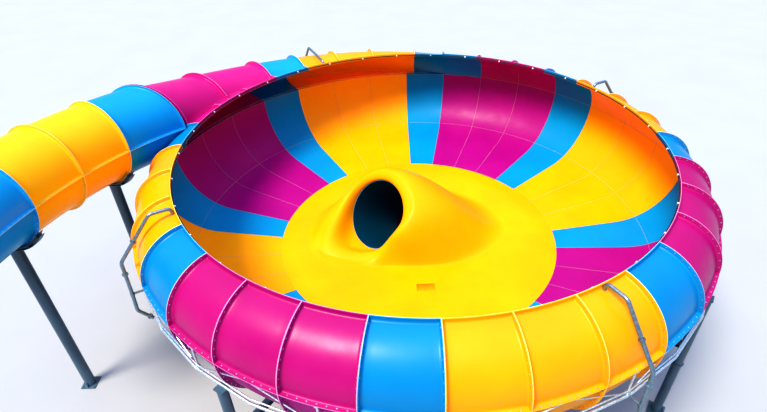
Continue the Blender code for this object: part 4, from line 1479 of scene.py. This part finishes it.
@dataclass
class Steelwork:
    """Galvanised ring truss, slate columns, the frame under the floor, and the supports of both tubes."""

    shop: Workshop
    tube: FeedTube
    way_out: ExitWorks
    ring_drop: float = 1.01
    chord: float = 0.045
    chord_rise: float = 0.17
    chord_inset: float = 0.03
    truss_post: float = 0.034
    truss_post_inset: float = 0.06
    brace: float = 0.022
    column_radius: float = 0.16
    column_seams: tuple[int, ...] = (2, 6, 10, 14, 18, 22, 26, 30)
    collar_height: float = 2.9
    collar_edge: float = 0.035
    collar_depth: float = 0.04
    head_size: float = 0.34
    head_depth: float = 0.03
    beam_radius: float = 5.48
    beam_width: float = 0.20
    spoke_depth: float = 0.30
    spoke_width: float = 0.16
    spoke_drop: float = 0.27
    post_radius: float = 0.13
    feed_column_radius: float = 0.20
    cradle_half: float = 1.07
    cradle_wrap: float = 0.45
    foot: Foot = field(default_factory=Foot)

    @property
    def ring_height(self) -> float:
        """Height of the ring truss's lower tube."""
        return BOWL.seam_height - self.ring_drop

    def paint(self, name: str, parts: list[Surface], node: str) -> None:
        """Paint a member's parts slate and put them in the CAD node's place."""
        self.shop.add(name, parts, [SLATE], (node,), "slate")

    def ring(self) -> None:
        """Two thin tubes round the bowl, posts up to the flange, and braces between them."""
        radius = BOWL.flange_radius
        turn = seam_angle(np.arange(PANELS) + 0.5)
        low, top = self.ring_height, BOWL.seam_height - 0.03
        lower = polar(radius, turn, low)
        upper = polar(radius - self.chord_inset, turn, low + self.chord_rise)
        parts = [swept(lower, UP, round_outline(self.chord, 12), closed=True),
                 swept(upper, UP, round_outline(0.6 * self.chord, 10), closed=True)]
        for panel in range(1, PANELS, 2):
            angle = float(seam_angle(panel + 0.5))
            level, _ = compass(angle)
            post = polar(radius - self.truss_post_inset, angle, 0.0)
            parts += [upright(post, low, top, round_outline(self.truss_post, 10), level),
                      upright(post, top - 0.012, top, block_outline(0.15, 0.12, 0.01), level),
                      upright(post, low - 0.06, low + 0.1, round_outline(0.075, 14), level)]
            for seam in (panel - 0.5, panel + 1.5):
                tip = polar(radius - 0.05, float(seam_angle(seam)), top)
                parts.append(bar(post + low * UP, tip, round_outline(self.brace, 8), level))
        self.shop.add("ring_truss", parts, [ZINC], ("ring_frame",), "galvanised")

    def columns(self) -> None:
        """Tubular columns with bases, collars and capped heads under the ring."""
        top = self.ring_height - self.chord - 0.004
        head = block_outline(self.head_size, self.head_size, 0.012)
        collar = round_outline(self.column_radius + self.collar_edge, 28)
        for index, seam in enumerate(self.column_seams):
            angle = float(seam_angle(seam))
            level, _ = compass(angle)
            foot = polar(BOWL.flange_radius, angle, 0.0)
            low, high = self.collar_height, self.collar_height + self.collar_depth
            parts = [upright(foot, 0.01, top - 0.02, round_outline(self.column_radius, 28), level),
                     upright(foot, top - self.head_depth, top, head, level),
                     upright(foot, low, high, collar, level),
                     self.foot.build(foot, angle, self.column_radius)]
            self.paint(f"slate_column_{index + 1}", parts, f"column_{index + 1}")

    def spoke(self, angle: float, height: float) -> list[Surface]:
        """Rolled beam from the floor's ring beam out to a column, with its end plate and stiffeners.

        Args:
            angle: The column's azimuth.
            height: Height of the beam's middle.

        Returns:
            Its parts.
        """
        level, across = compass(angle)
        start = polar(self.beam_radius + 0.03, angle, height)
        end = polar(BOWL.flange_radius - self.column_radius - 0.012, angle, height)
        parts = [rolled_beam(start, end, across, self.spoke_width, self.spoke_depth),
                 bar(end - 0.012 * level, end + 0.004 * level, block_outline(0.22, 0.36, 0.008), across)]
        rise = (self.spoke_depth / 2.0 - 0.017) * UP
        for share in (0.33, 0.66):
            middle = start + share * (end - start)
            for sign in (-1.0, 1.0):
                inner = middle + sign * 0.005 * across
                outer = middle + sign * (self.spoke_width / 2.0 - 0.006) * across
                parts.append(slab([inner - rise, outer - rise, outer + rise, inner + rise], 0.012 * level))
        return parts

    def floor_frame(self) -> None:
        """Ring beam under the disc, a spoke out to each column, and a post at every second spoke's root."""
        edge = float(BOWL.disc_height(BOWL.disc_radius))
        height = edge - self.spoke_drop - self.spoke_depth / 2.0
        low, high = height - self.spoke_depth / 2.0 - 0.02, edge - 0.035
        head = block_outline(self.head_size, self.head_size, 0.01)
        turn = full_turn(128)
        section = beam_outline(self.beam_width, high - low, 0.02, 0.022)
        path = polar(self.beam_radius, turn, (low + high) / 2.0)
        parts = [swept(path, compass(turn)[0], section, closed=True)]
        for index, seam in enumerate(self.column_seams):
            angle = float(seam_angle(seam))
            parts += self.spoke(angle, height)
            if index % 2 == 0:
                level, _ = compass(angle)
                foot = polar(self.beam_radius, angle, 0.0)
                parts += [upright(foot, 0.01, low, round_outline(self.post_radius, 24), level),
                          upright(foot, low - self.head_depth, low - 0.001, head, level),
                          self.foot.build(foot, angle, self.post_radius)]
        self.paint("floor_frame", parts, "under_frame")

    def feed_columns(self) -> None:
        """Columns with curved, ribbed brackets under two ring flanges of the feed tube."""
        seat = BOWL.barrel_radius + TUBE_RING.height + 0.004
        turn = np.radians(np.linspace(-145.0, -35.0, 33))
        # Seat plate, web and lower flange of the bracket: depth under the seat, width, thickness and cut
        plates = ((0.01, 0.34, 0.02, 0.003), (0.07, 0.016, 0.11, 0.002), (0.125, 0.20, 0.018, 0.003))
        for index, joint in enumerate((1, 3)):
            centre, side, high = self.tube.frame(joint * self.tube.segment)
            way = np.cross(side, high)
            parts = [swept(centre + (seat + depth) * rays(turn, side, high), way, block_outline(*section))
                     for depth, *section in plates]
            for rib in np.radians([-140.0, -118.0, -62.0, -40.0]):
                ray = rays(rib, side, high)
                near, far = centre + (seat + 0.018) * ray, centre + (seat + 0.118) * ray
                for sign in (-1.0, 1.0):
                    outline = [near + sign * 0.007 * way, near + sign * 0.16 * way,
                               far + sign * 0.095 * way, far + sign * 0.007 * way]
                    parts.append(slab(outline, 0.012 * np.cross(ray, way)))
            foot = centre * (1.0 - UP)
            top = centre[2] - seat - 0.12
            radius = self.feed_column_radius
            parts += [upright(foot, 0.01, top, round_outline(radius, 32), side),
                      upright(foot, top - 0.05, top - 0.02, round_outline(radius + 0.05, 32), side),
                      self.foot.build(foot, 0.0, radius)]
            self.paint(f"feed_support_{index + 1}", parts, f"feed_column_{index + 1}")

    def exit_cradle(self) -> None:
        """Welded cradle under the lower exit tube: web, edge flanges, base plate and a curved seat."""
        centre, _ = self.way_out.line(self.way_out.joint() + self.way_out.run / 2.0)
        level, side = compass(self.way_out.heading)
        base = centre * (1.0 - UP)
        seat = self.way_out.radius + 0.004
        top = centre[2] - self.way_out.radius + self.cradle_wrap
        sideways = np.linspace(-self.cradle_half, self.cradle_half, 41)
        tops = np.minimum(top, centre[2] - np.sqrt(np.maximum((seat + 0.01) ** 2 - sideways ** 2, 0.0)))
        line = base + sideways[:, None] * side
        grid = np.stack([line + 0.01 * UP, line + tops[:, None] * UP])
        parts = [closed_sheet(grid + 0.01 * level, grid - 0.01 * level),
                 bar(base - 1.1 * side + 0.015 * UP, base + 1.1 * side + 0.015 * UP,
                     block_outline(0.40, 0.03, 0.003), level)]
        for sign in (-1.0, 1.0):
            foot = base + sign * (self.cradle_half + 0.01) * side
            parts.append(upright(foot, 0.02, top, block_outline(0.40, 0.02, 0.003), level))
            for place in (0.35, 0.72):
                post = base + sign * place * side
                rise = float(np.interp(place, sideways, tops)) - 0.02
                for flank in (-1.0, 1.0):
                    inner, outer = post + flank * 0.009 * level, post + flank * 0.17 * level
                    outline = [inner + 0.02 * UP, outer + 0.02 * UP, outer + 0.5 * rise * UP,
                               inner + rise * UP]
                    parts.append(slab(outline, 0.014 * side))
        reach = math.acos((centre[2] - top) / seat)
        arc = centre + seat * rays(np.linspace(-reach, reach, 33), -UP, side)
        parts.append(swept(arc - 0.008 * UP, level, block_outline(0.38, 0.014, 0.002)))
        self.paint("exit_cradle", parts, "exit_saddle")

    def build(self) -> None:
        """Build all steel."""
        self.ring()
        self.columns()
        self.floor_frame()
        self.feed_columns()
        self.exit_cradle()


@dataclass
class Plumbing:
    """Water pipes: straight runs with short bends, flanges, and a clamped arm on the ring truss."""

    shop: Workshop
    ring_height: float
    radius: float = 0.06
    panels: tuple[float, ...] = (3.5, 11.5, 19.5, 27.5)
    corner: float = 0.10
    inset: float = 0.15
    stand_off: float = 0.45
    flange_edge: float = 0.04
    flange_half: float = 0.01
    flange_gap: float = 0.012
    bolt_ring: float = 0.024
    clamp_edge: float = 0.014
    clamp_half: float = 0.05

    def rounded(self, points: Array) -> Array:
        """Replace each corner of a line by a short quadratic bend.

        Args:
            points: Corners of the line.

        Returns:
            Its points with six on each bend.
        """
        before, corner, after = points[:-2], points[1:-1], points[2:]
        ends = []
        for other in (before, after):
            run = np.linalg.norm(other - corner, axis=1, keepdims=True)
            ends.append(corner + (other - corner) * np.minimum(self.corner, 0.45 * run) / run)
        bends = bezier(6, ends[0], corner, ends[1]).swapaxes(0, 1)
        return np.concatenate([points[:1], bends.reshape(-1, 3), points[-1:]])

    def route(self, panel: float) -> tuple[Array, float]:
        """Corners of a pipe; over the entry's hood it stands out and up as much as the hood does.

        Args:
            panel: Place round the bowl.

        Returns:
            Radii and heights of the corners, and the radius at the ring truss.
        """
        mouth = BOWL.rim_radius + self.inset
        top = float(BOWL.barrel_top(mouth)) + 0.002
        spread, rise = 0.0, 0.0
        if panel > BOWL.entry_first:
            radius, height, _ = BOWL.entry_centre(panel)
            spread, rise = radius - BOWL.barrel_centre, height - BOWL.seam_height
        ring = self.ring_height
        out = BOWL.flange_radius + self.stand_off + spread
        corners = [(mouth, top), (mouth, top + 0.16), (mouth + 0.10, top + 0.25),
                   (mouth + 0.69 + spread, top + 0.25 + rise), (out - 0.05, BOWL.rim_height + rise - 1.38),
                   (out, ring), (out + 0.05, ring - 0.77), (out - 0.33, ring - 1.33)]
        return np.array(corners), out

    def joint(self, first: Array, last: Array, share: float, across: Array) -> list[Surface]:
        """Bolted flange pair on a straight run.

        Args:
            first: Start of the run.
            last: End of the run.
            share: Its place on the run.
            across: Direction at right angles to the run.

        Returns:
            Two discs and their bolts.
        """
        way = unit(last - first)
        middle = first + share * (last - first)
        spokes = rays(full_turn(8), across, np.cross(way, across))
        disc = round_outline(self.radius + self.flange_edge, 24)
        half = self.flange_half * way
        parts = []
        for sign in (-1.0, 1.0):
            plate = middle + sign * self.flange_gap * way
            parts.append(bar(plate - half, plate + half, disc, across))
        for sign in (-1.0, 1.0):
            face = middle + sign * (self.flange_gap + self.flange_half) * way
            origins = face + (self.radius + self.bolt_ring) * spokes
            parts.append(copies(hex_bolt(0.009, 0.012), origins, sign * way, spokes))
        return parts

    def build(self) -> None:
        """Build the four pipes, with radii drawn in to the flat sides of the ring truss."""
        flat = math.cos(math.pi / PANELS)
        for index, panel in enumerate(self.panels):
            angle = float(seam_angle(panel))
            level, across = compass(angle)
            corners, out = self.route(panel)
            line = polar(corners[:, 0] * flat, angle, corners[:, 1])
            parts = [swept(self.rounded(line), across, round_outline(self.radius, 20))]
            for start, share in ((3, 0.55), (4, 0.35), (6, 0.8)):
                parts += self.joint(line[start], line[start + 1], share, across)
            clamp = polar(out * flat, angle, self.ring_height)
            arm = polar((BOWL.flange_radius + 0.01) * flat, angle, self.ring_height)
            tip = clamp - (self.radius - 0.01) * level
            collar = round_outline(self.radius + self.clamp_edge, 20)
            parts += [upright(clamp, -self.clamp_half, self.clamp_half, collar, across),
                      bar(arm, tip, block_outline(0.06, 0.06, 0.004), across),
                      bar(arm - 0.03 * level, arm + 0.05 * level, block_outline(0.11, 0.14, 0.006), across)]
            self.shop.add(f"hooked_pipe_{index + 1}", parts, [DULL_ZINC], (f"water_pipe_{index + 1}",),
                          "galvanised")


@dataclass
class Fixings:
    """Bolts through the flanges, sealant along the joints inside, the spray line and the drain grille."""

    shop: Workshop
    tube: FeedTube
    spacing: float = 0.24
    bolt_height: float = 0.088
    bolt_gap: float = 0.0015
    tube_bolt_ring: float = 0.066
    tube_bolts_round: int = 44
    line_radius: float = 0.019
    line_gap: float = 0.006
    line_drop: float = 0.085
    bead_width: float = 0.009
    bead_height: float = 0.004
    grille_place: Pair = (0.13, -3.17)
    grille_half: Pair = (0.34, 0.30)

    def seam_bolts(self, curve: Meridian, seams: range, trim: float) -> Surface:
        """Bolts on both sides of the ribs along a cross-section.

        Args:
            curve: Outer face of the shell.
            seams: Seams that have bolts.
            trim: Length without bolts at both ends.

        Returns:
            All bolt heads.
        """
        count = int((curve.length() - 2 * trim) / self.spacing) + 1
        place, normal = curve.at(np.linspace(trim, curve.length() - trim, count))
        place = place + self.bolt_height * normal
        angle = seam_angle(np.array(seams))[:, None]
        points = polar(place[:, 0], angle, place[:, 1]).reshape(-1, 3)
        lean = polar(normal[:, 0], angle, normal[:, 1]).reshape(-1, 3)
        around = np.repeat(compass(angle[:, 0])[1], count, axis=0)
        reach = RIB.thickness + self.bolt_gap
        return Surface.joined([copies(hex_bolt(), points + sign * reach * around, sign * around, lean)
                               for sign in (-1.0, 1.0)])

    def ring_bolts(self, meridian: Meridian, first: int, last: int, at_start: bool) -> Surface:
        """Bolts on the outer side of a flange that runs round the bowl.

        Args:
            meridian: Outer face of the panels.
            first: First seam.
            last: Last seam.
            at_start: Whether the flange is at the start of the cross-section.

        Returns:
            All bolt heads.
        """
        away = LEDGE.thickness + 0.0012
        place, normal = meridian.at(away if at_start else meridian.length() - away)
        way = np.array([normal[1], -normal[0]]) * (1.0 if at_start else -1.0)
        place = place + self.bolt_height * normal
        angle = seam_angle((np.arange(first, last)[:, None] + np.linspace(0.12, 0.88, 7)).ravel())
        return copies(hex_bolt(), polar(place[0], angle, place[1]), polar(way[0], angle, way[1]),
                      polar(1.0, angle, 0.3))

    def bowl_bolts(self) -> None:
        """Bolts on all flanges of the bowl."""
        barrel, wall, floor = BOWL.barrel(), BOWL.wall(), BOWL.floor()
        parts = [self.seam_bolts(barrel, range(1, 24), 0.22), self.seam_bolts(wall, range(PANELS), 0.2),
                 self.seam_bolts(floor, range(PANELS), 0.2),
                 self.ring_bolts(barrel, 1, 24, False), self.ring_bolts(wall, 1, PANELS, True),
                 self.ring_bolts(wall, 0, PANELS, False), self.ring_bolts(floor, 0, PANELS, True)]
        self.shop.add("flange_bolts", parts, [BOLT])

    def tube_bolts(self) -> None:
        """Bolts on the feed tube's ring flanges and side flanges."""
        parts = []
        turn = full_turn(self.tube_bolts_round) + 0.07
        reach = BOWL.barrel_radius + self.tube_bolt_ring
        segment, last = self.tube.segment, len(self.tube.tints)
        for joint in range(1, last + 1):
            for sign in ((-1.0, 1.0) if joint < last else (-1.0,)):
                distance = joint * segment + sign * (TUBE_RING.thickness + self.bolt_gap)
                centre, side, high = self.tube.frame(distance)
                spoke, along = rays(turn, side, high), -sign * np.cross(side, high)
                parts.append(copies(hex_bolt(), centre + reach * spoke, along, spoke))
        run = np.linspace(0.35, last * segment - 0.2, 38)
        run = run[np.abs(run / segment - np.round(run / segment)) > 0.06]
        centre, side, high = self.tube.frame(run)
        for way in (-1.0, 1.0):
            for sign in (-1.0, 1.0):
                rise = sign * (self.tube.side_flange.thickness + self.bolt_gap)
                origin = centre + way * reach * side + rise * high
                parts.append(copies(hex_bolt(), origin, sign * high, way * side))
        self.shop.add("feed_bolts", parts, [BOLT])

    def beads(self) -> None:
        """Flat beads of sealant on the joints that the riders pass over."""
        parts = []
        width, height = self.bead_width / 2.0, self.bead_height
        outline = np.array([(width, -0.004), (0.7 * width, 0.7 * height), (0.0, height),
                            (-0.7 * width, 0.7 * height), (-width, -0.004)])
        curves = ((BOWL.barrel(), range(1, 24), 28), (BOWL.wall(), range(PANELS), 36),
                  (BOWL.floor(), range(PANELS), 20))
        for curve, seams, count in curves:
            place, normal = curve.at(np.linspace(0.02, curve.length() - 0.01, count))
            place = place - BOWL.shell * normal
            for seam in seams:
                angle = float(seam_angle(seam))
                parts.append(swept(polar(place[:, 0], angle, place[:, 1]), compass(angle)[1], outline))
        turn = full_turn(256)
        for curve in (BOWL.wall(), BOWL.floor()):
            place, normal = curve.at(0.0)
            place = place - (BOWL.shell + 0.0005) * normal
            path = polar(place[0], turn, place[1])
            across = np.cross(polar(-normal[0], turn, -normal[1]), compass(turn)[1])
            parts.append(swept(path, across, round_outline(0.005, 6), closed=True))
        self.shop.add("sealant_beads", parts, [SEALANT])

    def spray_line(self) -> None:
        """Black hose under the rim with a white clip on each panel."""
        radius = BOWL.rim_radius - self.line_radius - self.line_gap
        height = BOWL.rim_height - self.line_drop
        path = polar(radius, full_turn(256), height)
        hose = swept(path, UP, round_outline(self.line_radius, 10), closed=True)
        self.shop.add("spray_line", [hose], [HOSE])
        angle = seam_angle(np.arange(PANELS) + 1.0 / 3.0)
        block = bar(-0.028 * UP, 0.028 * UP, block_outline(0.066, 0.060, 0.010), np.array([1.0, 0.0, 0.0]))
        clips = copies(block, polar(radius, angle, height), compass(angle)[1], UP)
        self.shop.add("spray_line_clips", [clips], [CLIP])

    def grille(self) -> None:
        """Slotted drain grille in the disc's floor: a frame with bars across."""
        along, across = compass(0.0)
        height = float(BOWL.disc_height(math.hypot(*self.grille_place))) + 0.006
        centre = np.array([*self.grille_place, height])
        long, wide = self.grille_half[0] * along, self.grille_half[1] * across
        frame_bar, slot_bar = block_outline(0.03, 0.016, 0.002), block_outline(0.018, 0.01, 0.001)
        parts = []
        for sign in (-1.0, 1.0):
            parts += [bar(centre + sign * wide - long, centre + sign * wide + long, frame_bar, across),
                      bar(centre + sign * long - wide, centre + sign * long + wide, frame_bar, along)]
        parts += [bar(centre + place * long - wide, centre + place * long + wide, slot_bar, along)
                  for place in np.linspace(-1.0, 1.0, 16)[1:-1]]
        self.shop.add("drain_grille", parts, [GRATING])

    def build(self) -> None:
        """Build all fixings."""
        self.bowl_bolts()
        self.tube_bolts()
        self.beads()
        self.spray_line()
        self.grille()


@dataclass
class Studio:
    """Plain pale floor, soft light and the camera at the photograph's angle."""

    axis: Pair
    camera_place: Triple = (-1.430, -18.072, 18.914)
    elevation: float = math.radians(35.94)
    roll: float = -0.0317981
    lens: float = 24.93
    low_sky: float = 0.55
    high_sky: float = 1.5
    key_power: float = 3.6
    key_angle: float = math.radians(20.0)
    key_turn: Triple = (math.radians(30.0), 0.0, math.radians(-50.0))
    floor_half: float = 160.0
    floor_drop: float = 0.002

    def camera(self) -> None:
        """Place the camera: it looks along +Y and down, with a slight roll."""
        data = bpy.data.cameras.new("camera")
        data.lens = self.lens
        data.sensor_width = 36.0
        data.sensor_fit = "HORIZONTAL"
        data.clip_end = 500.0
        right = np.array([1.0, 0.0, 0.0])
        up = np.array([0.0, math.sin(self.elevation), math.cos(self.elevation)])
        cosine, sine = math.cos(self.roll), math.sin(self.roll)
        columns = [cosine * right + sine * up, cosine * up - sine * right, np.cross(right, up),
                   np.array(self.camera_place) + np.array([*self.axis, 0.0])]
        item = bpy.data.objects.new("camera", data)
        item.matrix_world = Matrix([*np.stack(columns, axis=1).tolist(), [0.0, 0.0, 0.0, 1.0]])
        bpy.context.scene.collection.objects.link(item)
        bpy.context.scene.camera = item

    def light(self) -> None:
        """Broad key light from the front left, high up, and a pale blue sky that is brighter overhead."""
        world = bpy.data.worlds.new("studio")
        world.use_nodes = True
        tree = world.node_tree
        way = add_node(tree, "ShaderNodeTexCoord").outputs["Generated"]
        up = add_node(tree, "ShaderNodeSeparateXYZ", {}, {"Vector": way}).outputs["Z"]
        settings = {"interpolation_type": "SMOOTHSTEP", "From Min": 0.5, "From Max": 0.8,
                    "To Min": self.low_sky, "To Max": self.high_sky}
        rise = add_node(tree, "ShaderNodeMapRange", settings, {"Value": up}).outputs["Result"]
        background = tree.nodes["Background"]
        background.inputs["Color"].default_value = linear("#C4DAFF")
        tree.links.new(rise, background.inputs["Strength"])
        bpy.context.scene.world = world
        bpy.context.scene.view_settings.view_transform = "Standard"
        bpy.context.scene.view_settings.look = "High Contrast"
        data = bpy.data.lights.new("key", "SUN")
        data.energy = self.key_power
        data.color = linear("#FFF4E2")[:3]
        data.angle = self.key_angle
        key = bpy.data.objects.new("key", data)
        key.rotation_euler = self.key_turn
        bpy.context.scene.collection.objects.link(key)

    def floor(self) -> None:
        """Pale floor under the slide, far wider than the view."""
        half = self.floor_half
        corners = [(x * half, y * half, -self.floor_drop) for x, y in ((-1, -1), (1, -1), (1, 1), (-1, 1))]
        mesh = bpy.data.meshes.new("studio_floor")
        mesh.from_pydata(corners, [], [(0, 1, 2, 3)])
        mesh.materials.append(SCREED.make())
        item = bpy.data.objects.new("studio_floor", mesh)
        bpy.context.scene.collection.objects.link(item)
        item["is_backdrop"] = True

    def build(self) -> None:
        """Set up camera, light and floor."""
        self.camera()
        self.light()
        self.floor()


def corners(box: tuple) -> list[list[float]]:
    """Lowest and highest corner of a box as plain lists."""
    return [[float(value) for value in corner] for corner in box]


def main() -> None:
    """Build every sub-assembly in order, and work out the sizes of frame and finished part."""
    logging.basicConfig(level=logging.INFO, format="%(name)s %(message)s")
    sizes = {"cad": corners(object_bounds())}
    low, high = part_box("centre_disc")
    axis = ((low.x + high.x) / 2.0, (low.y + high.y) / 2.0)
    shop = Workshop(axis)
    Shells(shop).build()
    tube = FeedTube(shop)
    tube.build()
    way_out = ExitWorks(shop)
    way_out.build()
    steel = Steelwork(shop, tube, way_out)
    steel.build()
    Plumbing(shop, steel.ring_height).build()
    Fixings(shop, tube).build()
    Studio(axis).build()
    bpy.context.view_layer.update()
    sizes["visual"] = corners(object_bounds())
    log.info("%d pieces made", shop.made)


if __name__ == "__main__":
    main()
